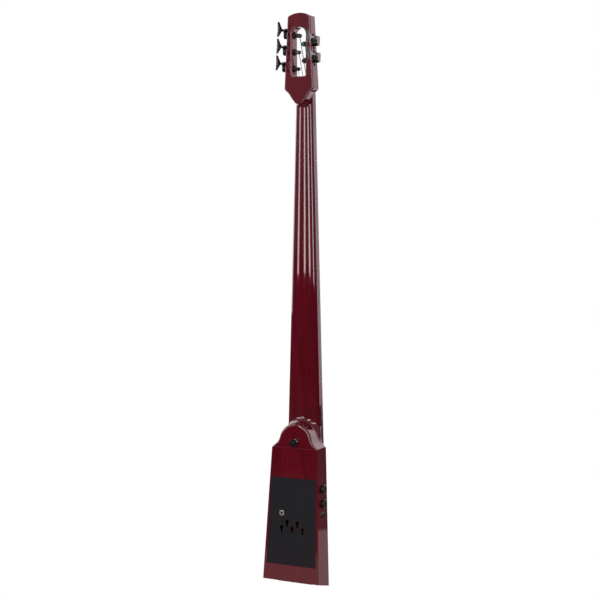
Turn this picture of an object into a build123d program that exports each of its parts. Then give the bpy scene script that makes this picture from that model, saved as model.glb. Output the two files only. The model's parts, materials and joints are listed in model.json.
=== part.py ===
from build123d import *
import os
from math import atan, cos, hypot, pi, sin, sqrt

# Five-string electric upright bass.
# z = 0 is the lowest edge, +Z runs up the neck, -Y is the string side, +Y is the back, +X is the
# treble side. While a piece is drawn, y = 0 is the glue plane between neck and fingerboard. Each
# finished piece is then moved by ORIGIN_Y, so the origin is the bottom centre of the bounding box.
# Millimetres.

os.makedirs("parts", exist_ok=True)

# ---- driving dimensions
OVERALL = 1370
SCALE_LENGTH = 1050
ORIGIN_Y = 22.7
NUT_Z = 1190
BRIDGE_Z = NUT_Z - SCALE_LENGTH

# body wedge
BODY_TOP = 334.5
BODY_HALF_BOTTOM = 75.3
BODY_HALF_TOP = 60.8
REAR_LOW_Z = 15
REAR_LOW_Y = 82.5
REAR_TOP_Y = 60.9
FRONT_LOW_Y = 24.5
FRONT_TOP_Y = 11.7
EDGE_ROUND = 1.2

# heel arch
ARCH_Z = 351.8
ARCH_R = 42.5
STRAP_Z = 348.3

# neck
NECK_HALF_LOW = 44
NECK_SLOPE = 0.0266
NECK_SIDE = 6
NECK_BACK_LOW = 22
NECK_BACK_TOP = 15
NECK_END_Z = NUT_Z + 5
TENON_LOW = 262
TENON_HALF = 30
TENON_FRONT_Y = 21
TENON_Y = 40
PAD_LOW = 305
PAD_TOP = BODY_TOP + 1

# fingerboard
BOARD_EDGE = 10
BOARD_R = 85
BOARD_END_Z = 300

# headstock
HEAD_FRONT_LOW_Y = 6.8
HEAD_FRONT_TOP_Y = 10.6
HEAD_REAR_Y = 38.3
HEAD_HALF_LOW = 38.5
HEAD_HALF_TOP = 29.6
STRING_FLOOR_Y = 8.3
HEAD_LOW_Z = 1191
HEAD_TOP_Z = 1362
TONGUE_Z = 1155.8
SLOT_HALF = 18
SLOT_LOW_Z = 1221
SLOT_TOP_Z = 1337
SLOT_CORNER = 6
RECESS_TOP_Z = SLOT_LOW_Z + SLOT_CORNER + 1

# tuners: heights of the post axes on the side faces
TREBLE_POSTS = (1319, 1280, 1241)
BASS_POSTS = (1299, 1260)
POST_R = 4.2
POST_WAIST_R = 3.5
POST_LENGTH = 32.5
GEAR_TEETH = 20
MODULE = 0.65
WORM_PITCH_R = 3.6
WORM_OUT = 6.4
HOUSING_OUT = 12.4
PLATE_T = 1.2
RUN = 0.05

# strings, treble to bass
STRING_NAMES = ("g", "d", "a", "e", "b")
STRING_R = (0.6, 0.8, 1.05, 1.35, 1.7)
NUT_SPACING = 8.5
BRIDGE_SPACING = 17
TAIL_SPACING = 12
BRIDGE_CROWN_Y = -35
BRIDGE_CROWN_R = 80
STRING_LIFT = 0.4

# side controls
KNOB_HEIGHTS = (238, 203.5)
JACK_HEIGHT = 175.8
KNOB_R = 10.5
KNOB_H = 8.4

# ---- derived values
rear_slope = (REAR_LOW_Y - REAR_TOP_Y) / (BODY_TOP - REAR_LOW_Z)
rear_angle = atan(rear_slope)
front_slope = (FRONT_LOW_Y - FRONT_TOP_Y) / BODY_TOP
front_angle = atan(front_slope)
side_slope = (BODY_HALF_BOTTOM - BODY_HALF_TOP) / BODY_TOP
side_angle = atan(side_slope)
head_slope = (HEAD_HALF_LOW - HEAD_HALF_TOP) / (HEAD_TOP_Z - HEAD_LOW_Z)
head_angle = atan(head_slope)
end_length = hypot(REAR_LOW_Y - FRONT_LOW_Y, REAR_LOW_Z)
end_run = (REAR_LOW_Y - FRONT_LOW_Y) / end_length
end_rise = REAR_LOW_Z / end_length
head_mid_y = (HEAD_FRONT_LOW_Y + HEAD_FRONT_TOP_Y) / 4 + HEAD_REAR_Y / 2
gear_pitch_r = GEAR_TEETH * MODULE / 2
worm_up = gear_pitch_r + WORM_PITCH_R
thread_pitch = pi * MODULE


def rear_y(z):
    """y of the flat back of the body at height z."""
    return REAR_LOW_Y - rear_slope * (z - REAR_LOW_Z)


def front_y(z):
    """y of the flat front of the body at height z."""
    return FRONT_LOW_Y - front_slope * z


def body_half(z):
    """Half width of the body at height z."""
    return BODY_HALF_BOTTOM - side_slope * z


def neck_half(z):
    """Half width of the neck and fingerboard at height z."""
    return NECK_HALF_LOW - NECK_SLOPE * (z - BODY_TOP)


def neck_back(z):
    """y of the middle of the neck's back at height z."""
    share = (z - BODY_TOP) / (NECK_END_Z - BODY_TOP)
    return NECK_BACK_LOW + (NECK_BACK_TOP - NECK_BACK_LOW) * share


def head_half(z):
    """Half width of the headstock at height z."""
    return HEAD_HALF_LOW - head_slope * (z - HEAD_LOW_Z)


def board_y(x, z):
    """y of the crowned playing surface."""
    edge = sqrt(BOARD_R**2 - neck_half(z) ** 2)
    return -(BOARD_EDGE + sqrt(BOARD_R**2 - x**2) - edge)


# planes of the sloping faces, each with its normal pointing out of the body
rear_plane = Plane(
    origin=(0, rear_y(0), 0), x_dir=(-1, 0, 0), z_dir=(0, cos(rear_angle), sin(rear_angle))
)
end_plane = Plane(origin=(0, FRONT_LOW_Y, 0), x_dir=(-1, 0, 0), z_dir=(0, end_rise, -end_run))
bridge_plane = Plane(
    origin=(0, front_y(BRIDGE_Z), BRIDGE_Z),
    x_dir=(1, 0, 0),
    z_dir=(0, -cos(front_angle), -sin(front_angle)),
)


def rear_at(x, z):
    """Local coordinates on the rear plane of the point at (x, z)."""
    return (-x, z / cos(rear_angle))


def side_plane(y, z):
    """Plane on the bass side face, normal outwards."""
    outward = (-cos(side_angle), 0, sin(side_angle))
    return Plane(origin=(-body_half(z), y, z), x_dir=(0, 1, 0), z_dir=outward)


def tuner_plane(z):
    """Plane on the treble side of the headstock: x to the back, y up the side, z outwards."""
    outward = (cos(head_angle), 0, sin(head_angle))
    return Plane(origin=(head_half(z), head_mid_y, z), x_dir=(0, 1, 0), z_dir=outward)


def rod(start, end, radius):
    """Round rod between two points, for use outside the builder blocks."""
    start = Vector(*start)
    end = Vector(*end)
    return Solid.make_cylinder(radius, (end - start).length, Plane(origin=start, z_dir=end - start))


def save(part, label):
    """Move one finished piece to the instrument's origin, label it and write its STEP file."""
    placed = Pos(0, -ORIGIN_Y, 0) * part
    placed.label = label
    export_step(placed, f"parts/{label}.step")


# ---- string paths: post, nut, bridge and tail points, treble to bass
TAIL_V = 20
TAIL_Y = FRONT_LOW_Y + TAIL_V * end_run
TAIL_Z = TAIL_V * end_rise
POST_OF_STRING = (1241, 1280, 1319, 1299, 1260)
SIDE_OF_STRING = (1, 1, 1, -1, -1)
WIND_DEPTH = 25.5
WIND_GAP = 0.2


def string_points(index):
    """Centre line of one string from its ball end to the front of its post."""
    radius = STRING_R[index]
    nut_x = NUT_SPACING * (2 - index)
    nut_z = NECK_END_Z - 2.5
    bridge_x = BRIDGE_SPACING * (2 - index)
    crown_drop = BRIDGE_CROWN_R - sqrt(BRIDGE_CROWN_R**2 - bridge_x**2)
    tail = (TAIL_SPACING * (2 - index), TAIL_Y, TAIL_Z)
    bridge = (bridge_x, BRIDGE_CROWN_Y + crown_drop - radius, BRIDGE_Z)
    nut = (nut_x, board_y(nut_x, NUT_Z) - STRING_LIFT - radius, nut_z)
    side = SIDE_OF_STRING[index]
    post_z = POST_OF_STRING[index]
    post_x = side * (head_half(post_z) - WIND_DEPTH * cos(head_angle))
    post_y = head_mid_y - POST_WAIST_R - radius - WIND_GAP
    post = (post_x, post_y, post_z - WIND_DEPTH * sin(head_angle))
    return tail, bridge, nut, post


def string_solid(index, radius):
    """One string as straight runs with rounded bends."""
    points = string_points(index)
    solid = rod(points[0], points[1], radius)
    for start, end in zip(points[1:-1], points[2:]):
        solid = solid + rod(start, end, radius) + Pos(*start) * Sphere(radius)
    return solid


strings = [string_solid(i, STRING_R[i]) for i in range(5)]
string_clearance = [string_solid(i, STRING_R[i] + RUN) for i in range(5)]
string_tunnels = [rod(string_points(i)[0], string_points(i)[1], STRING_R[i] + 0.4) for i in range(5)]

# ---- body
COVER_LOW = 54
COVER_TOP = 263
COVER_HALF_LOW = 65.5
COVER_HALF_TOP = 59.6
COVER_T = 2.8
COVER_GAP = 0.35
CAVITY_WALL = 19
CAVITY_LOW = 72
CAVITY_TOP = 250
CAVITY_DEPTH = 33
INSERT_X = 28.9
INSERT_Z = 177.5
PILLAR_R = 13
TONGUE_HALF = 30
TONGUE_REACH = 5
TONGUE_T = 1.3
REBATE_CORNER = 3
CAVITY_CORNER = 8
SCREW_HOLE_R = 1.5
COVER_SCREW_DEPTH = 18
TAIL_SCREW_DEPTH = 22
INSERT_BORE_R = 5
INSERT_BORE_DEPTH = 18
SIDE_BORE_DEPTH = 30
CABLE_HOLE_R = 2
CABLE_HOLE_DEPTH = 25
CONTROL_BACK = 2
TAIL_PLATE_FRONT = 11
TAIL_PLATE_REAR = 34.3
TAIL_HALF_FRONT = 35.5
TAIL_HALF_REAR = 47
TAIL_INSET = 3
TAIL_PROUD = 2
SCREW_SPOTS = ((55.4, 94), (-55.4, 94))
TAIL_SCREWS = ((-32, 20), (32, 20))
POT_RECESS_R = 9.5
POT_WALL = 5
POT_BUSHING_R = 3.5
JACK_R = 5.5
ADJUSTER_X = 27
control_planes = [side_plane((front_y(z) + rear_y(z)) / 2 + CONTROL_BACK, z) for z in KNOB_HEIGHTS]
jack_plane = side_plane((front_y(JACK_HEIGHT) + rear_y(JACK_HEIGHT)) / 2, JACK_HEIGHT)


def rear_trapezoid(low, top, half_low, half_top):
    """Corner points on the rear plane of an upright trapezoid, for Polyline."""
    corners = ((half_low, low), (half_top, top), (-half_top, top), (-half_low, low))
    return [rear_at(x, z) for x, z in corners]


with BuildPart() as body:
    with BuildSketch(Plane.YZ):
        with BuildLine():
            Polyline(
                (FRONT_LOW_Y, 0),
                (REAR_LOW_Y, REAR_LOW_Z),
                (REAR_TOP_Y, BODY_TOP),
                (FRONT_TOP_Y, BODY_TOP),
                close=True,
            )
        make_face()
    extrude(amount=BODY_HALF_BOTTOM + 10, both=True)
    with BuildSketch(Plane.XZ):
        with BuildLine():
            Polyline(
                (-BODY_HALF_BOTTOM, 0),
                (BODY_HALF_BOTTOM, 0),
                (BODY_HALF_TOP, BODY_TOP),
                (-BODY_HALF_TOP, BODY_TOP),
                close=True,
            )
        make_face()
    extrude(amount=REAR_LOW_Y + 10, both=True, mode=Mode.INTERSECT)
    long_edges = body.edges().filter_by(lambda edge: edge.length > BODY_TOP * 0.9)
    fillet(long_edges, EDGE_ROUND)
    # rebate for the cover, then the control cavity with a pillar under the stand insert
    with BuildSketch(rear_plane):
        with BuildLine():
            Polyline(
                *rear_trapezoid(
                    COVER_LOW - COVER_GAP,
                    COVER_TOP + COVER_GAP,
                    COVER_HALF_LOW + COVER_GAP,
                    COVER_HALF_TOP + COVER_GAP,
                ),
                close=True,
            )
        rebate = make_face()
        fillet(rebate.vertices(), REBATE_CORNER)
    extrude(amount=-COVER_T, mode=Mode.SUBTRACT)
    with BuildSketch(rear_plane):
        with BuildLine():
            Polyline(
                *rear_trapezoid(
                    CAVITY_LOW,
                    CAVITY_TOP,
                    body_half(CAVITY_LOW) - CAVITY_WALL,
                    body_half(CAVITY_TOP) - CAVITY_WALL,
                ),
                close=True,
            )
        cavity = make_face()
        fillet(cavity.vertices(), CAVITY_CORNER)
        with Locations(rear_at(INSERT_X, INSERT_Z)):
            Circle(PILLAR_R, mode=Mode.SUBTRACT)
    extrude(amount=-CAVITY_DEPTH, mode=Mode.SUBTRACT)
    # groove for the cover's tongue
    with BuildSketch(rear_plane.offset(-COVER_T)):
        with Locations(rear_at(0, COVER_TOP + TONGUE_REACH / 2)):
            Rectangle(2 * TONGUE_HALF + 1, TONGUE_REACH + 1)
    extrude(amount=TONGUE_T + 0.2, mode=Mode.SUBTRACT)
    # blind mortise for the neck tenon
    with BuildSketch(Plane.YZ):
        with BuildLine():
            Polyline(
                (TENON_FRONT_Y, TENON_LOW),
                (TENON_Y, TENON_LOW),
                (TENON_Y, BODY_TOP),
                (TENON_FRONT_Y, BODY_TOP),
                close=True,
            )
        make_face()
    extrude(amount=TENON_HALF, both=True, mode=Mode.SUBTRACT)
    # holes: cover screws, stand insert, tail plate inset and screws
    with BuildSketch(rear_plane):
        with Locations(*[rear_at(x, z) for x, z in SCREW_SPOTS]):
            Circle(SCREW_HOLE_R)
    extrude(amount=-COVER_SCREW_DEPTH, mode=Mode.SUBTRACT)
    with BuildSketch(rear_plane):
        with Locations(rear_at(INSERT_X, INSERT_Z)):
            Circle(INSERT_BORE_R)
    extrude(amount=-INSERT_BORE_DEPTH, mode=Mode.SUBTRACT)
    with BuildSketch(end_plane):
        with BuildLine():
            Polyline(
                (-TAIL_HALF_FRONT, TAIL_PLATE_FRONT),
                (TAIL_HALF_FRONT, TAIL_PLATE_FRONT),
                (TAIL_HALF_REAR, TAIL_PLATE_REAR),
                (-TAIL_HALF_REAR, TAIL_PLATE_REAR),
                close=True,
            )
        make_face()
    extrude(amount=-TAIL_INSET, mode=Mode.SUBTRACT)
    with BuildSketch(end_plane):
        with Locations(*TAIL_SCREWS):
            Circle(SCREW_HOLE_R)
    extrude(amount=-TAIL_SCREW_DEPTH, mode=Mode.SUBTRACT)
    for tunnel in string_tunnels:
        add(tunnel, mode=Mode.SUBTRACT)
    # side holes for the two potentiometers and the jack
    for plane in control_planes:
        with BuildSketch(plane):
            Circle(POT_BUSHING_R + 0.1)
        extrude(amount=-SIDE_BORE_DEPTH, mode=Mode.SUBTRACT)
        with BuildSketch(plane.offset(-POT_WALL)):
            Circle(POT_RECESS_R)
        extrude(amount=-(CAVITY_WALL - POT_WALL + 2), mode=Mode.SUBTRACT)
    with BuildSketch(jack_plane):
        Circle(JACK_R + 0.1)
    extrude(amount=-SIDE_BORE_DEPTH, mode=Mode.SUBTRACT)
    # cable hole from the pickup to the cavity
    with BuildSketch(bridge_plane):
        Circle(CABLE_HOLE_R)
    extrude(amount=-CABLE_HOLE_DEPTH, mode=Mode.SUBTRACT)
save(body.part, "body")

# ---- tuner bores, made before the neck that they cut
BUSHING_R = 6
FLANGE_R = 8
FLANGE_T = 4
SEAT_DEPTH = 0.5
LUG_UP = 19.2
LUG_DOWN = -11.8
LUG_R = 3.4
TUNER_SCREW_R = 1.2
TUNER_SCREW_DEPTH = 9
TUNER_SIDES = [(1, z) for z in TREBLE_POSTS] + [(-1, z) for z in BASS_POSTS]


def cheek(z):
    """Depth from the side face to the slot wall along the post axis."""
    return (head_half(z) - SLOT_HALF) / cos(head_angle)


def seat(part, side, z):
    """Move a part from the tuner's own frame to its place, mirrored on the bass side."""
    placed = tuner_plane(z).location * part
    if side < 0:
        placed = mirror(placed, about=Plane.YZ)
    return placed


def tuner_hole(z):
    """Everything that one tuner removes from the headstock, in the tuner's own frame."""
    depth = cheek(z)
    bore = Pos(0, 0, -depth / 2) * Cylinder(BUSHING_R, depth + 8)
    spot_face = Pos(0, 0, -depth + SEAT_DEPTH - 3) * Cylinder(FLANGE_R + RUN, 6)
    cut = bore + spot_face
    for lug in (LUG_UP, LUG_DOWN):
        cut = cut + Pos(0, lug, -TUNER_SCREW_DEPTH / 2) * Cylinder(TUNER_SCREW_R, TUNER_SCREW_DEPTH)
    return cut


tuner_holes = [seat(tuner_hole(z), side, z) for side, z in TUNER_SIDES]

# ---- neck with headstock and heel arch
NECK_TOP_HALF = neck_half(NECK_END_Z)
HEAD_OUTLINE_RIGHT = (
    (12, 1161),
    (19, 1168.5),
    (27.5, 1182),
    (HEAD_HALF_LOW, HEAD_LOW_Z),
    (HEAD_HALF_TOP, HEAD_TOP_Z),
)
HEAD_OUTLINE_LEFT = [(-x, z) for x, z in HEAD_OUTLINE_RIGHT]
ROD_LOW_Z = 320
ROD_TOP_Z = 1185
ROD_WIDTH = 6
ROD_DEPTH = 9
ROD_NUT_WIDTH = 9
BUTTON_SCREW_R = 2
BUTTON_SCREW_DEPTH = 25
FLARE_MID = (51.0, 342.4)


def neck_section(z):
    """Sketch of the neck across its length: flat front, short sides, elliptical back."""
    half = neck_half(z)
    with BuildSketch(Plane.XY.offset(z)) as section:
        with BuildLine():
            Polyline((-half, NECK_SIDE), (-half, 0), (half, 0), (half, NECK_SIDE))
            EllipticalCenterArc(
                (0, NECK_SIDE), half, neck_back(z) - NECK_SIDE, start_angle=0, arc_size=180
            )
        make_face()
    return section.sketch


with BuildPart() as neck:
    # heel arch with flares down to the shoulders
    with BuildSketch(Plane.XZ):
        with BuildLine():
            ThreePointArc((BODY_HALF_TOP, BODY_TOP), FLARE_MID, (ARCH_R, ARCH_Z))
            ThreePointArc((ARCH_R, ARCH_Z), (0, ARCH_Z + ARCH_R), (-ARCH_R, ARCH_Z))
            ThreePointArc((-ARCH_R, ARCH_Z), (-FLARE_MID[0], FLARE_MID[1]), (-BODY_HALF_TOP, BODY_TOP))
            Line((-BODY_HALF_TOP, BODY_TOP), (BODY_HALF_TOP, BODY_TOP))
        make_face()
    extrude(amount=-REAR_LOW_Y)
    with BuildSketch(Plane.YZ):
        with BuildLine():
            Polyline(
                (rear_y(BODY_TOP), BODY_TOP),
                (rear_y(HEAD_TOP_Z), HEAD_TOP_Z),
                (REAR_LOW_Y + 5, HEAD_TOP_Z),
                (REAR_LOW_Y + 5, BODY_TOP),
                close=True,
            )
        make_face()
    extrude(amount=BODY_HALF_BOTTOM, both=True, mode=Mode.SUBTRACT)
    # the flares stop at the front face of the body
    with BuildSketch(Plane.YZ):
        with BuildLine():
            Polyline(
                (-1, BODY_TOP),
                (front_y(BODY_TOP), BODY_TOP),
                (front_y(BODY_TOP + 20), BODY_TOP + 20),
                (-1, BODY_TOP + 20),
                close=True,
            )
        make_face()
    extrude(amount=BODY_HALF_BOTTOM, both=True, mode=Mode.SUBTRACT)
    loft([neck_section(BODY_TOP), neck_section(NECK_END_Z)], ruled=True)
    # headstock plate with its tongue
    with BuildSketch(Plane.XZ):
        with BuildLine():
            Polyline(*HEAD_OUTLINE_RIGHT)
            ThreePointArc(HEAD_OUTLINE_RIGHT[-1], (0, OVERALL), HEAD_OUTLINE_LEFT[-1])
            Polyline(*HEAD_OUTLINE_LEFT)
            ThreePointArc(HEAD_OUTLINE_LEFT[0], (0, TONGUE_Z), HEAD_OUTLINE_RIGHT[0])
        plate = make_face()
        corners = plate.vertices().filter_by_position(Axis.Y, TONGUE_Z + 10, HEAD_LOW_Z + 2)
        fillet(corners, 5)
    extrude(amount=-HEAD_REAR_Y)
    # the headstock's face steps back behind the nut, with a recess under the strings
    with BuildSketch(Plane.YZ):
        with BuildLine():
            Polyline(
                (-1, NECK_END_Z),
                (HEAD_FRONT_LOW_Y, NECK_END_Z),
                (HEAD_FRONT_TOP_Y, OVERALL + 1),
                (-1, OVERALL + 1),
                close=True,
            )
        make_face()
    extrude(amount=HEAD_HALF_LOW + 5, both=True, mode=Mode.SUBTRACT)
    with BuildSketch(Plane.XZ):
        with Locations((0, (NECK_END_Z + RECESS_TOP_Z) / 2)):
            Rectangle(2 * SLOT_HALF, RECESS_TOP_Z - NECK_END_Z)
    extrude(amount=-STRING_FLOOR_Y, mode=Mode.SUBTRACT)
    for side in (-1, 1):
        with BuildSketch(Plane.XZ):
            with Locations((side * (NECK_TOP_HALF + HEAD_HALF_LOW) / 2, NUT_Z)):
                Rectangle(HEAD_HALF_LOW - NECK_TOP_HALF, 4 * (NUT_Z - TONGUE_Z))
        extrude(amount=-HEAD_FRONT_LOW_Y, mode=Mode.SUBTRACT)
    # slot, round at its upper end
    with BuildSketch(Plane.XZ):
        with Locations((0, (SLOT_LOW_Z + SLOT_TOP_Z - SLOT_HALF) / 2)):
            slot = Rectangle(2 * SLOT_HALF, SLOT_TOP_Z - SLOT_HALF - SLOT_LOW_Z)
        with Locations((0, SLOT_TOP_Z - SLOT_HALF)):
            Circle(SLOT_HALF)
        fillet(slot.vertices().group_by(Axis.Y)[0], SLOT_CORNER)
    extrude(amount=-HEAD_REAR_Y - 5, mode=Mode.SUBTRACT)
    # tenon into the body, and the pad that carries the fingerboard's end
    with BuildSketch(Plane.YZ):
        with BuildLine():
            Polyline(
                (TENON_FRONT_Y, TENON_LOW),
                (TENON_Y, TENON_LOW),
                (TENON_Y, BODY_TOP),
                (TENON_FRONT_Y, BODY_TOP),
                close=True,
            )
        make_face()
    extrude(amount=TENON_HALF, both=True)
    with BuildSketch(Plane.YZ):
        with BuildLine():
            Polyline(
                (0, PAD_LOW),
                (front_y(PAD_LOW), PAD_LOW),
                (front_y(PAD_TOP), PAD_TOP),
                (0, PAD_TOP),
                close=True,
            )
        make_face()
    extrude(amount=NECK_HALF_LOW, both=True)
    # truss rod channel, open at the pad's end to reach the rod's nut
    with BuildSketch(Plane.XY.offset(ROD_LOW_Z)):
        with Locations((0, ROD_DEPTH / 2)):
            Rectangle(ROD_WIDTH, ROD_DEPTH)
    extrude(amount=ROD_TOP_Z - ROD_LOW_Z, mode=Mode.SUBTRACT)
    with BuildSketch(Plane.XY.offset(PAD_LOW)):
        with Locations((0, ROD_DEPTH / 2)):
            Rectangle(ROD_NUT_WIDTH, ROD_DEPTH)
    extrude(amount=ROD_LOW_Z - PAD_LOW, mode=Mode.SUBTRACT)
    # strap button screw hole
    with BuildSketch(rear_plane):
        with Locations(rear_at(0, STRAP_Z)):
            Circle(BUTTON_SCREW_R)
    extrude(amount=-BUTTON_SCREW_DEPTH, mode=Mode.SUBTRACT)
    # tuner bores, bushing seats and mounting screw holes
    for hole in tuner_holes:
        add(hole, mode=Mode.SUBTRACT)
save(neck.part, "neck")

# ---- fingerboard, position dots and nut
DOT_R = 1.25
DOT_DEPTH = 1.2
DOT_FRETS = (3, 5, 7, 9, 12, 15, 17, 19, 24)
NUT_RISE = 1.2


def board_section(z):
    """Sketch of the fingerboard across its length, crowned on the string side."""
    half = neck_half(z)
    with BuildSketch(Plane.XY.offset(z)) as section:
        with BuildLine():
            Polyline((-half, -BOARD_EDGE), (-half, 0), (half, 0), (half, -BOARD_EDGE))
            ThreePointArc((half, -BOARD_EDGE), (0, board_y(0, z)), (-half, -BOARD_EDGE))
        make_face()
    return section.sketch


def dot_holes():
    """Short cylinders that run into the bass edge of the fingerboard."""
    holes = []
    for fret in DOT_FRETS:
        z = NUT_Z - SCALE_LENGTH * (1 - 2 ** (-fret / 12))
        edge = neck_half(z)
        holes.append(rod((-edge + DOT_DEPTH, -BOARD_EDGE / 2, z), (-edge - 2, -BOARD_EDGE / 2, z), DOT_R))
    return holes


with BuildPart() as board_blank:
    loft([board_section(BOARD_END_Z), board_section(NUT_Z)], ruled=True)

with BuildPart() as fingerboard:
    add(board_blank.part)
    for hole in dot_holes():
        add(hole, mode=Mode.SUBTRACT)
save(fingerboard.part, "fingerboard")

with BuildPart() as position_dots:
    for hole in dot_holes():
        add(hole)
    add(board_blank.part, mode=Mode.INTERSECT)
save(position_dots.part, "position_dots")

with BuildPart() as nut:
    half = neck_half(NUT_Z) - 0.3
    with BuildSketch(Plane.XY.offset(NUT_Z)):
        with BuildLine():
            Polyline((-half, -BOARD_EDGE - NUT_RISE), (-half, 0), (half, 0), (half, -BOARD_EDGE - NUT_RISE))
            ThreePointArc(
                (half, -BOARD_EDGE - NUT_RISE),
                (0, board_y(0, NUT_Z) - NUT_RISE),
                (-half, -BOARD_EDGE - NUT_RISE),
            )
        make_face()
    extrude(amount=NECK_END_Z - NUT_Z)
    for clearance in string_clearance:
        add(clearance, mode=Mode.SUBTRACT)
    for i in range(5):
        x, y, z = string_points(i)[2]
        with Locations((x, y - 5, z)):
            Box(2 * (STRING_R[i] + RUN), 10, 20, mode=Mode.SUBTRACT)
save(nut.part, "nut")

# ---- truss rod with its socket nut at the heel end
ROD_FIT = 0.1
ROD_NUT_R = 4.2
ROD_NUT_LOW = 307

with BuildPart() as truss_rod:
    with BuildSketch(Plane.XY.offset(ROD_LOW_Z)):
        with Locations((0, ROD_DEPTH / 2)):
            Rectangle(ROD_WIDTH - 2 * ROD_FIT, ROD_DEPTH - 2 * ROD_FIT)
    extrude(amount=ROD_TOP_Z - ROD_LOW_Z - ROD_FIT)
    with BuildSketch(Plane.XY.offset(ROD_NUT_LOW)):
        with Locations((0, ROD_DEPTH / 2)):
            Circle(ROD_NUT_R)
            RegularPolygon(ROD_NUT_R / 2, 6, mode=Mode.SUBTRACT)
    extrude(amount=ROD_LOW_Z - ROD_NUT_LOW)
save(truss_rod.part, "truss_rod")

# ---- rear cover with keyholes, screws and stand insert
KEYHOLES = ((28.2, 143.2), (0, 142.4), (-28.2, 141.6), (13.5, 157.5), (-13.5, 156.5))
KEYHOLE_R = 4.6
KEYHOLE_SLOT_R = 2.3
KEYHOLE_DROP = 9.5
COVER_SCREW_HEAD_R = 4
COVER_CORNER = 2.7
COVER_SCREW_LENGTH = 16
SCREW_HEAD_T = 1.3
CROSS_LENGTH = 4
CROSS_WIDTH = 0.7
INSERT_SLEEVE_R = INSERT_BORE_R
INSERT_FLANGE_R = 6.5
INSERT_FLANGE_T = 0.8
INSERT_THREAD_R = 2.9
INSERT_LENGTH = 15

with BuildPart() as rear_cover:
    with BuildSketch(rear_plane.offset(-COVER_T)):
        with BuildLine():
            Polyline(
                *rear_trapezoid(COVER_LOW, COVER_TOP, COVER_HALF_LOW, COVER_HALF_TOP), close=True
            )
        outline = make_face()
        fillet(outline.vertices(), COVER_CORNER)
        for x, z in KEYHOLES:
            u, v = rear_at(x, z)
            with Locations((u, v)):
                Circle(KEYHOLE_R, mode=Mode.SUBTRACT)
            with Locations((u, v - KEYHOLE_DROP / 2)):
                Rectangle(2 * KEYHOLE_SLOT_R, KEYHOLE_DROP, mode=Mode.SUBTRACT)
            with Locations((u, v - KEYHOLE_DROP)):
                Circle(KEYHOLE_SLOT_R, mode=Mode.SUBTRACT)
        with Locations(rear_at(INSERT_X, INSERT_Z)):
            Circle(INSERT_SLEEVE_R, mode=Mode.SUBTRACT)
        with Locations(*[rear_at(x, z) for x, z in SCREW_SPOTS]):
            Circle(1.6, mode=Mode.SUBTRACT)
    extrude(amount=COVER_T)
    with BuildSketch(rear_plane.offset(-1.6)):
        with Locations(*[rear_at(x, z) for x, z in SCREW_SPOTS]):
            Circle(COVER_SCREW_HEAD_R + 0.1)
    extrude(amount=2, mode=Mode.SUBTRACT)
    with BuildSketch(rear_plane.offset(-COVER_T)):
        with Locations(rear_at(0, COVER_TOP + TONGUE_REACH / 2 - 1)):
            Rectangle(2 * TONGUE_HALF, TONGUE_REACH + 2)
    extrude(amount=TONGUE_T)
save(rear_cover.part, "rear_cover")

with BuildPart() as cover_screws:
    with BuildSketch(rear_plane.offset(-COVER_SCREW_LENGTH)):
        with Locations(*[rear_at(x, z) for x, z in SCREW_SPOTS]):
            Circle(SCREW_HOLE_R)
    extrude(amount=COVER_SCREW_LENGTH - SCREW_HEAD_T)
    with BuildSketch(rear_plane.offset(-0.2 - SCREW_HEAD_T)):
        with Locations(*[rear_at(x, z) for x, z in SCREW_SPOTS]):
            Circle(COVER_SCREW_HEAD_R)
    extrude(amount=SCREW_HEAD_T)
    with BuildSketch(rear_plane.offset(-1.1)):
        with Locations(*[rear_at(x, z) for x, z in SCREW_SPOTS]):
            Rectangle(CROSS_LENGTH, CROSS_WIDTH)
            Rectangle(CROSS_WIDTH, CROSS_LENGTH)
    extrude(amount=1.2, mode=Mode.SUBTRACT)
save(cover_screws.part, "cover_screws")

with BuildPart() as stand_insert:
    with BuildSketch(rear_plane):
        with Locations(rear_at(INSERT_X, INSERT_Z)):
            Circle(INSERT_FLANGE_R)
    extrude(amount=INSERT_FLANGE_T)
    with BuildSketch(rear_plane):
        with Locations(rear_at(INSERT_X, INSERT_Z)):
            Circle(INSERT_SLEEVE_R)
    extrude(amount=-INSERT_LENGTH)
    rim = stand_insert.edges().filter_by(GeomType.CIRCLE).sort_by(Axis.Y)[-1]
    chamfer(rim, 0.3)
    with BuildSketch(rear_plane.offset(INSERT_FLANGE_T + 1)):
        with Locations(rear_at(INSERT_X, INSERT_Z)):
            Circle(INSERT_THREAD_R)
    extrude(amount=-INSERT_LENGTH - INSERT_FLANGE_T - 2, mode=Mode.SUBTRACT)
save(stand_insert.part, "stand_insert")

# ---- strap button and its screw, turned about the heel's centre
BUTTON_PROFILE = ((2.1, 0), (9, 0), (9, 1.6), (4.6, 3), (4.6, 6.4), (9, 8), (9, 9.4), (4.4, 9.4), (2.1, 7.4))
BUTTON_HEAD = ((0, 7.6), (2, 7.6), (4, 9.5), (4, 10), (0, 10.4))
heel_centre = Plane(
    origin=(0, rear_y(STRAP_Z), STRAP_Z), x_dir=(-1, 0, 0), z_dir=rear_plane.z_dir
)
heel_profile = Plane(origin=heel_centre.origin, x_dir=(-1, 0, 0), z_dir=-heel_centre.y_dir)

with BuildPart() as strap_button:
    with BuildSketch(heel_profile):
        with BuildLine():
            Polyline(*BUTTON_PROFILE, close=True)
        make_face()
    revolve(axis=Axis(heel_centre.origin, heel_centre.z_dir))
save(strap_button.part, "strap_button")

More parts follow.
